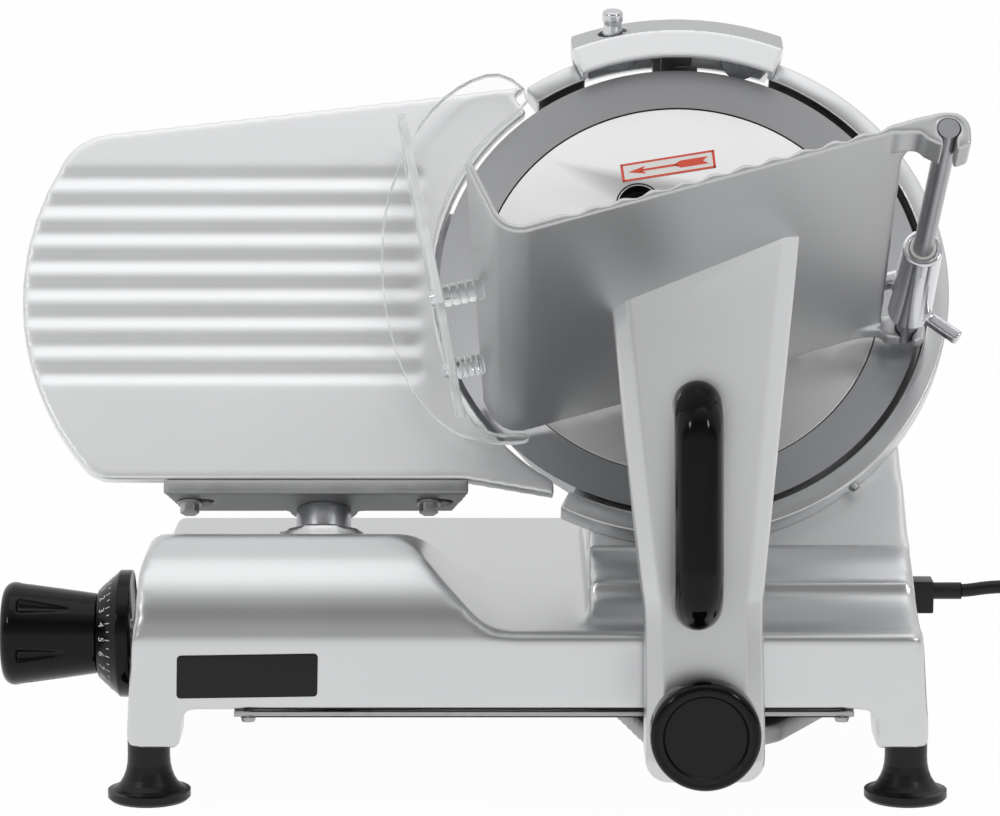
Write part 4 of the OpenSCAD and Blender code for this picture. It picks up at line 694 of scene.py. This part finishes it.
# Clear ridged spacers from the flared hand guard to the tray's wall
GUARD_TURN, GUARD_FLARE, GUARD_LOW, GUARD_T = math.radians(101), math.radians(3.5), 7.5, 4
GUARD_FOOT, SPACER_UP, SPACER_OUT = (-115, -79), 8, (57, 148)
along = ACROSS * math.cos(GUARD_TURN) + UP * math.sin(GUARD_TURN)
level_in = ACROSS * math.sin(GUARD_TURN) - UP * math.cos(GUARD_TURN)
inward = level_in * math.cos(GUARD_FLARE) + OUT * math.sin(GUARD_FLARE)
guard_out = OUT * math.cos(GUARD_FLARE) - level_in * math.sin(GUARD_FLARE)
wall_turn = TRAY_SLOPE + math.radians(TRAY_WALL + 90)
wall_way = ACROSS * math.cos(wall_turn) + UP * math.sin(wall_turn)


def on_guard(up, out, depth=0):
    """A point of the guard's plate: up from its foot, out from the knife, and in from its outer face."""
    step = along * up + guard_out * (out - GUARD_LOW) + inward * depth
    return on_knife(*GUARD_FOOT, GUARD_LOW) + step * MM


bm = bmesh.new()
for out in SPACER_OUT:
    foot = on_guard(SPACER_UP, out, GUARD_T)
    spacer_long = (on_tray(0, 0, 0) - foot).dot(wall_way) / inward.dot(wall_way) / MM
    ridged = [(3, 0)]
    for i in range(5):
        low, high = spacer_long * i / 5, spacer_long * (i + 1) / 5
        ridged += [(4.6, low + 0.05), (5.5, low + 0.7), (5.5, high - 0.7), (4.6, high - 0.05)]
    join(bm, turned(ridged + [(3, spacer_long)], seated(foot, along, inward.cross(along)), 32))
as_piece("guard_spacers_ridged", bm, polycarbonate_ridged, body_of_node("guard_screws"),
         ("guard_screws",), 40)


def new_tree(name, sizes):
    """An empty Geometry Nodes tree with named sizes, a finish, and its input and output."""
    tree = bpy.data.node_groups.new(name, "GeometryNodeTree")
    tree.interface.new_socket("Geometry", in_out="INPUT", socket_type="NodeSocketGeometry")
    for label, kind in sizes.items():
        tree.interface.new_socket(label, in_out="INPUT", socket_type="NodeSocket" + kind)
    tree.interface.new_socket("Finish", in_out="INPUT", socket_type="NodeSocketMaterial")
    tree.interface.new_socket("Geometry", in_out="OUTPUT", socket_type="NodeSocketGeometry")
    return tree, add(tree, "NodeGroupInput")


def close_tree(tree, given, spread):
    """Ends a tree: instances made real, and their finish set."""
    real = add(tree, "GeometryNodeRealizeInstances", None, None, {"Geometry": spread.outputs[0]})
    painted = add(tree, "GeometryNodeSetMaterial", None, None,
                  {"Geometry": real.outputs[0], "Material": given.outputs["Finish"]})
    add(tree, "NodeGroupOutput", None, None, {"Geometry": painted.outputs[0]})


def grown(tree, values, spots=(), ways=()):
    """Runs a tree on points, each with the way it faces, and gives the plain mesh."""
    mesh = bpy.data.meshes.new(tree.name)
    mesh.from_pydata([tuple(p) for p in spots] or [(0, 0, 0)], [], [])
    if ways:
        turns = mesh.attributes.new("way", "FLOAT_VECTOR", "POINT")
        for item, way in zip(turns.data, ways):
            item.vector = way.to_track_quat("Z", "Y").to_euler()
    seed = link(bpy.data.objects.new(tree.name, mesh))
    grow = seed.modifiers.new("grow", "NODES")
    grow.node_group = tree
    for item in tree.interface.items_tree:
        if item.in_out == "INPUT" and item.name in values:
            grow[item.identifier] = values[item.name]
    result = evaluated_mesh(seed)
    bpy.data.objects.remove(seed)
    return result


# Slotted screw heads, set on points
screw_heads, given = new_tree("slotted_screw_heads", {
    "Head Radius": "Float", "Crown Radius": "Float", "Head Height": "Float", "Slot Width": "Float"})
head = add(screw_heads, "GeometryNodeMeshCone", None, {"Vertices": 28}, {
    "Radius Bottom": given.outputs["Head Radius"], "Radius Top": given.outputs["Crown Radius"],
    "Depth": given.outputs["Head Height"]})
slot_size = add(screw_heads, "ShaderNodeCombineXYZ", None, {"X": 0.03}, {
    "Y": given.outputs["Slot Width"], "Z": given.outputs["Head Height"]})
slot_place = add(screw_heads, "ShaderNodeCombineXYZ", None, None, {"Z": given.outputs["Head Height"]})
slot_bar = add(screw_heads, "GeometryNodeMeshCube", None, None, {"Size": slot_size.outputs[0]})
slot_cut = add(screw_heads, "GeometryNodeTransform", None, None, {
    "Geometry": slot_bar.outputs[0], "Translation": slot_place.outputs[0]})
slotted = add(screw_heads, "GeometryNodeMeshBoolean", {"operation": "DIFFERENCE"}, None, {
    "Mesh 1": head.outputs[0], "Mesh 2": slot_cut.outputs[0]})
facing = add(screw_heads, "GeometryNodeInputNamedAttribute", {"data_type": "FLOAT_VECTOR"}, {"Name": "way"})
close_tree(screw_heads, given, add(screw_heads, "GeometryNodeInstanceOnPoints", None, None, {
    "Points": given.outputs["Geometry"], "Instance": slotted.outputs[0], "Rotation": facing.outputs[0]}))


def screws(name, spots, ways, radius, height, finish, body, stands_for=()):
    mesh = grown(screw_heads, {
        "Head Radius": radius * MM, "Crown Radius": 0.8 * radius * MM, "Head Height": height * MM,
        "Slot Width": 0.3 * radius * MM, "Finish": finish}, spots, ways)
    finished(name, mesh, body, stands_for)


DOWN = Vector((0, 0, -1))
COVER_SCREW_X, COVER_SCREW_Y, COVER_Z = (-217, 74), (2.6, 206), 46
screws("cover_screw_heads", [at(x, y, COVER_Z) for x in COVER_SCREW_X for y in COVER_SCREW_Y], [DOWN] * 4,
       4, 2.4, zinc, "base", ("cover_screws",))
screws("guard_screw_heads", [on_guard(SPACER_UP, out) for out in SPACER_OUT], [-inward] * 2,
       4.2, 2.2, chrome, "carriage")
RING_SCREW_TURN, RING_R, RING_SCREW_OUT = math.radians(-51.4), 138.9, -7
ring_way = ACROSS * math.cos(RING_SCREW_TURN) + UP * math.sin(RING_SCREW_TURN)
screws("ring_screw_head", [on_knife(0, 0, RING_SCREW_OUT) + ring_way * RING_R * MM], [ring_way],
       3, 2.4, zinc, "base")

# Teeth on the pusher's plate
pin_rows, given = new_tree("pusher_pins", {
    "Length": "Float", "Width": "Float", "Pin Height": "Float", "Pin Radius": "Float",
    "Tip Radius": "Float"})
grid = add(pin_rows, "GeometryNodeMeshGrid", None, {"Vertices X": 7, "Vertices Y": 3}, {
    "Size X": given.outputs["Length"], "Size Y": given.outputs["Width"]})
pin = add(pin_rows, "GeometryNodeMeshCone", None, {"Vertices": 14}, {
    "Radius Bottom": given.outputs["Tip Radius"], "Radius Top": given.outputs["Pin Radius"],
    "Depth": given.outputs["Pin Height"]})
close_tree(pin_rows, given, add(pin_rows, "GeometryNodeInstanceOnPoints", None, None, {
    "Points": grid.outputs[0], "Instance": pin.outputs[0]}))
SLEEVE_LOW = 40
plate_way = -ACROSS * math.cos(TRAY_SLOPE) - UP * math.sin(TRAY_SLOPE)
plate_up = ACROSS * math.sin(TRAY_SLOPE) - UP * math.cos(TRAY_SLOPE)
pins = grown(pin_rows, {
    "Length": 84.0, "Width": 28.0, "Pin Height": 8.4, "Pin Radius": 2.0, "Tip Radius": 0.4, "Finish": chrome})
PUSHER_AT, PLATE_MIDDLE = (114, -31), (74, -40, 0)
plate_seat = seated(on_knife(*PUSHER_AT, SLEEVE_LOW), plate_way, plate_up)
pins.transform(plate_seat @ Matrix.Translation(PLATE_MIDDLE))
finished("pusher_teeth", pins, body_of_node("pusher"))

# Dial: plain numbers and ticks on its cone
DIAL_X, CONE_R, CONE_RUN, CONE_RISE = -295.2, 22.0, 10.0, 9.0
cone_long = math.hypot(CONE_RUN, CONE_RISE)
run, rise = CONE_RUN / cone_long, CONE_RISE / cone_long
dial_seat = seated(at(DIAL_X, 62, 74.5), Vector((0, -1, 0)), Vector((0, 0, -1)))
STEP, FIRST = math.radians(17.3), math.radians(-5 - 5 * 17.3)
tick_ring, given = new_tree("dial_ticks", {
    "Count": "Int", "First": "Float", "Step": "Float", "Tick Size": "Vector", "Tick Place": "Vector",
    "Slant": "Vector"})
row = add(tick_ring, "GeometryNodeMeshLine", None, {"Offset": (0, 0, 0)}, {"Count": given.outputs["Count"]})
bar = add(tick_ring, "GeometryNodeMeshCube", None, None, {"Size": given.outputs["Tick Size"]})
laid = add(tick_ring, "GeometryNodeTransform", None, None, {
    "Geometry": bar.outputs[0], "Translation": given.outputs["Tick Place"],
    "Rotation": given.outputs["Slant"]})
number = add(tick_ring, "GeometryNodeInputIndex")
angle = add(tick_ring, "ShaderNodeMath", {"operation": "MULTIPLY_ADD"}, None, {
    0: number.outputs[0], 1: given.outputs["Step"], 2: given.outputs["First"]})
spin = add(tick_ring, "ShaderNodeCombineXYZ", None, None, {"Z": angle.outputs[0]})
close_tree(tick_ring, given, add(tick_ring, "GeometryNodeInstanceOnPoints", None, None, {
    "Points": row.outputs[0], "Instance": laid.outputs[0], "Rotation": spin.outputs[0]}))


def ticks(name, count, first, long, middle):
    place = (CONE_R + middle * rise + 0.03 * run, 0, middle * run - 0.03 * rise)
    mesh = grown(tick_ring, {
        "Count": count, "First": first, "Step": STEP, "Tick Size": (0.16, 0.42, long), "Tick Place": place,
        "Slant": (0, math.atan2(CONE_RISE, CONE_RUN), 0), "Finish": print_white})
    mesh.transform(dial_seat)
    finished(name, mesh, body_of_node("index_dial"))


ticks("dial_ticks_long", 16, FIRST, 3.0, 8.5)
ticks("dial_ticks_short", 15, FIRST + STEP / 2, 1.8, 8.9)
bm = bmesh.new()
for number in range(16):
    curve = bpy.data.curves.new("dial_number", "FONT")
    curve.body, curve.size, curve.extrude = str(number), 5.2, 0.04
    curve.align_x = curve.align_y = "CENTER"
    text = link(bpy.data.objects.new("dial_number", curve))
    mesh = evaluated_mesh(text)
    bpy.data.objects.remove(text)
    for vertex in mesh.vertices:
        slope, height = 4.0 + vertex.co.y, 0.05 + vertex.co.z
        radius = CONE_R + slope * rise + height * run
        turn = FIRST + number * STEP + vertex.co.x / (CONE_R + 4.0 * rise)
        vertex.co = dial_seat @ Vector((
            radius * math.cos(turn), radius * math.sin(turn), slope * run - height * rise))
    bm.from_mesh(mesh)
as_piece("dial_numbers", bm, print_white, body_of_node("index_dial"))

# Bare plate on the front wall, and the plain arrow label on the cover disc
bm = prism(
    arc((-250, 57.5), 2, 180, 270, 5) + arc((-185, 58.5), 2, 270, 360, 5)
    + arc((-184.6, 76), 2, 0, 90, 5) + arc((-249.6, 75), 2, 90, 180, 5),
    -0.55, 0.1, lambda x, z, h: at(x, h, z))
round_edges(bm, 0.2, 2, 40)
as_piece("bare_plate", bm, plate_black, "base")

LABEL = ((-30.6, 70.8), (19.0, 79.6), (19.9, 69.2), (-29.3, 60.6))


def on_label(s, t):
    """A point of the label: s runs from its left to its right end, t from its foot to its top."""
    (ax, ay), (bx, by), (cx, cy), (dx, dy) = LABEL
    low = (dx + (cx - dx) * s, dy + (cy - dy) * s)
    high = (ax + (bx - ax) * s, ay + (by - ay) * s)
    return (low[0] + (high[0] - low[0]) * t, low[1] + (high[1] - low[1]) * t)


def label_layer(name, shapes, height, finish):
    bm = bmesh.new()
    for shape in shapes:
        join(bm, prism([on_label(s, t) for s, t in shape], -2.2, height, on_knife))
    as_piece(name, bm, finish, "base")


label_layer("arrow_label_vinyl", [[(0, 0), (1, 0), (1, 1), (0, 1)]], -2.08, print_paper)
edge = 0.028
frame_bars = [
    [(0, 0), (1, 0), (1, 0.11), (0, 0.11)], [(0, 0.89), (1, 0.89), (1, 1), (0, 1)],
    [(0, 0), (edge, 0), (edge, 1), (0, 1)], [(1 - edge, 0), (1, 0), (1, 1), (1 - edge, 1)]]
arrow = [
    [(0.07, 0.5), (0.26, 0.28), (0.22, 0.5), (0.26, 0.72)],
    [(0.2, 0.44), (0.6, 0.44), (0.6, 0.56), (0.2, 0.56)],
    [(0.55, 0.5), (0.63, 0.3), (0.93, 0.3), (0.87, 0.5)],
    [(0.55, 0.5), (0.87, 0.5), (0.93, 0.7), (0.63, 0.7)]]
label_layer("arrow_label_print", frame_bars + arrow, -2.0, print_red)

# Finger cup in the cover disc
CUP_AT = (-21, 48.3)
cup_seat = seated(on_knife(*CUP_AT, 0), ACROSS, UP)
bm = turned([
    (9, -9.3), (9.9, -8.6), (10.35, -2.6), (11.6, -1.9), (11.9, -2.1), (11.9, -2.3), (10.7, -2.3),
    (10.6, -9.6)], cup_seat)
as_piece("finger_cup", bm, black_matt, "base")

# Floor, studio light and backdrop
floor_mesh = bpy.data.meshes.new("floor")
floor_mesh.from_pydata([(-12, -6, 0), (12, -6, 0), (12, 24, 0), (-12, 24, 0)], [], [(0, 1, 2, 3)])
floor = link(bpy.data.objects.new("floor", floor_mesh))
floor_paint = bpy.data.materials.new("floor_paint_white")
floor_paint.use_nodes = True
tree = floor_paint.node_tree
paint = tree.nodes["Principled BSDF"]
paint.inputs["Base Color"].default_value = srgb("#F2F2F2")
paint.inputs["Roughness"].default_value = 0.9
glow = add(tree, "ShaderNodeEmission", None, {"Color": (1, 1, 1, 1), "Strength": 1.0})
path = add(tree, "ShaderNodeLightPath")
mirrored = add(tree, "ShaderNodeMath", {"operation": "MAXIMUM"}, None,
               {0: path.outputs["Is Glossy Ray"], 1: path.outputs["Is Transmission Ray"]})
direct = add(tree, "ShaderNodeMath", {"operation": "MAXIMUM"}, None,
             {0: path.outputs["Is Camera Ray"], 1: mirrored.outputs[0]})
seen = add(tree, "ShaderNodeMath", {"operation": "MULTIPLY"}, {1: 0.97}, {0: direct.outputs[0]})
blend = add(tree, "ShaderNodeMixShader", None, None, {
    "Fac": seen.outputs[0], 1: paint.outputs[0], 2: glow.outputs[0]})
tree.links.new(blend.outputs[0], tree.nodes["Material Output"].inputs["Surface"])
floor_mesh.materials.append(floor_paint)

world = bpy.data.worlds.new("studio")
bpy.context.scene.world = world
world.use_nodes = True
tree = world.node_tree
back = tree.nodes["Background"]
way = add(tree, "ShaderNodeTexCoord")
split = add(tree, "ShaderNodeSeparateXYZ", None, None, {"Vector": way.outputs["Generated"]})
front = add(tree, "ShaderNodeMath", {"operation": "MULTIPLY"}, {1: -1.0}, {0: split.outputs["Y"]})
turn = add(tree, "ShaderNodeMath", {"operation": "ARCTAN2"}, None,
           {0: split.outputs["Z"], 1: front.outputs[0]})
share = add(tree, "ShaderNodeMapRange", None, {"From Min": 0.0, "From Max": math.pi},
            {"Value": turn.outputs[0]})
ramp = add(tree, "ShaderNodeValToRGB", None, None, {"Fac": share.outputs[0]})
# Grey of the room by angle from the front, over the top, to the back
ROOM = (
    (0, 0.96), (7, 0.90), (12, 0.62), (16, 0.46), (26, 0.30), (40, 0.16), (52, 0.50), (64, 0.74), (76, 0.86),
    (120, 0.88), (180, 0.8))
stops = ramp.color_ramp.elements
for angle, grey in ROOM:
    stop = stops[0] if angle == 0 else stops[-1] if angle == 180 else stops.new(angle / 180)
    stop.color = (grey, grey, grey, 1)
tree.links.new(ramp.outputs[0], back.inputs["Color"])
# The room's right side is darker than its left
right = add(tree, "ShaderNodeMapRange", None, {
    "From Min": 0.3, "From Max": 1.0, "To Min": 1.0, "To Max": 0.8}, {"Value": split.outputs["X"]})
tree.links.new(right.outputs[0], back.inputs["Strength"])


def soft_box(name, place, aim, size, power):
    """A square soft light."""
    lamp = bpy.data.lights.new(name, "AREA")
    lamp.shape = "RECTANGLE"
    lamp.size, lamp.size_y = size
    lamp.energy = power
    obj = link(bpy.data.objects.new(name, lamp))
    obj.location = place
    obj.rotation_euler = (Vector(aim) - Vector(place)).to_track_quat("-Z", "Y").to_euler()
    return obj


soft_box("top_light", (0.0, -0.2, 1.9), (0, 0, 0.15), (1.9, 1.3), 4)
soft_box("left_light", (-1.4, -1.3, 1.3), (0, 0, 0.2), (0.22, 0.32), 4)
soft_box("right_light", (1.4, -1.3, 1.3), (0, 0, 0.2), (0.22, 0.32), 4)

bpy.context.scene.view_settings.view_transform = "Standard"
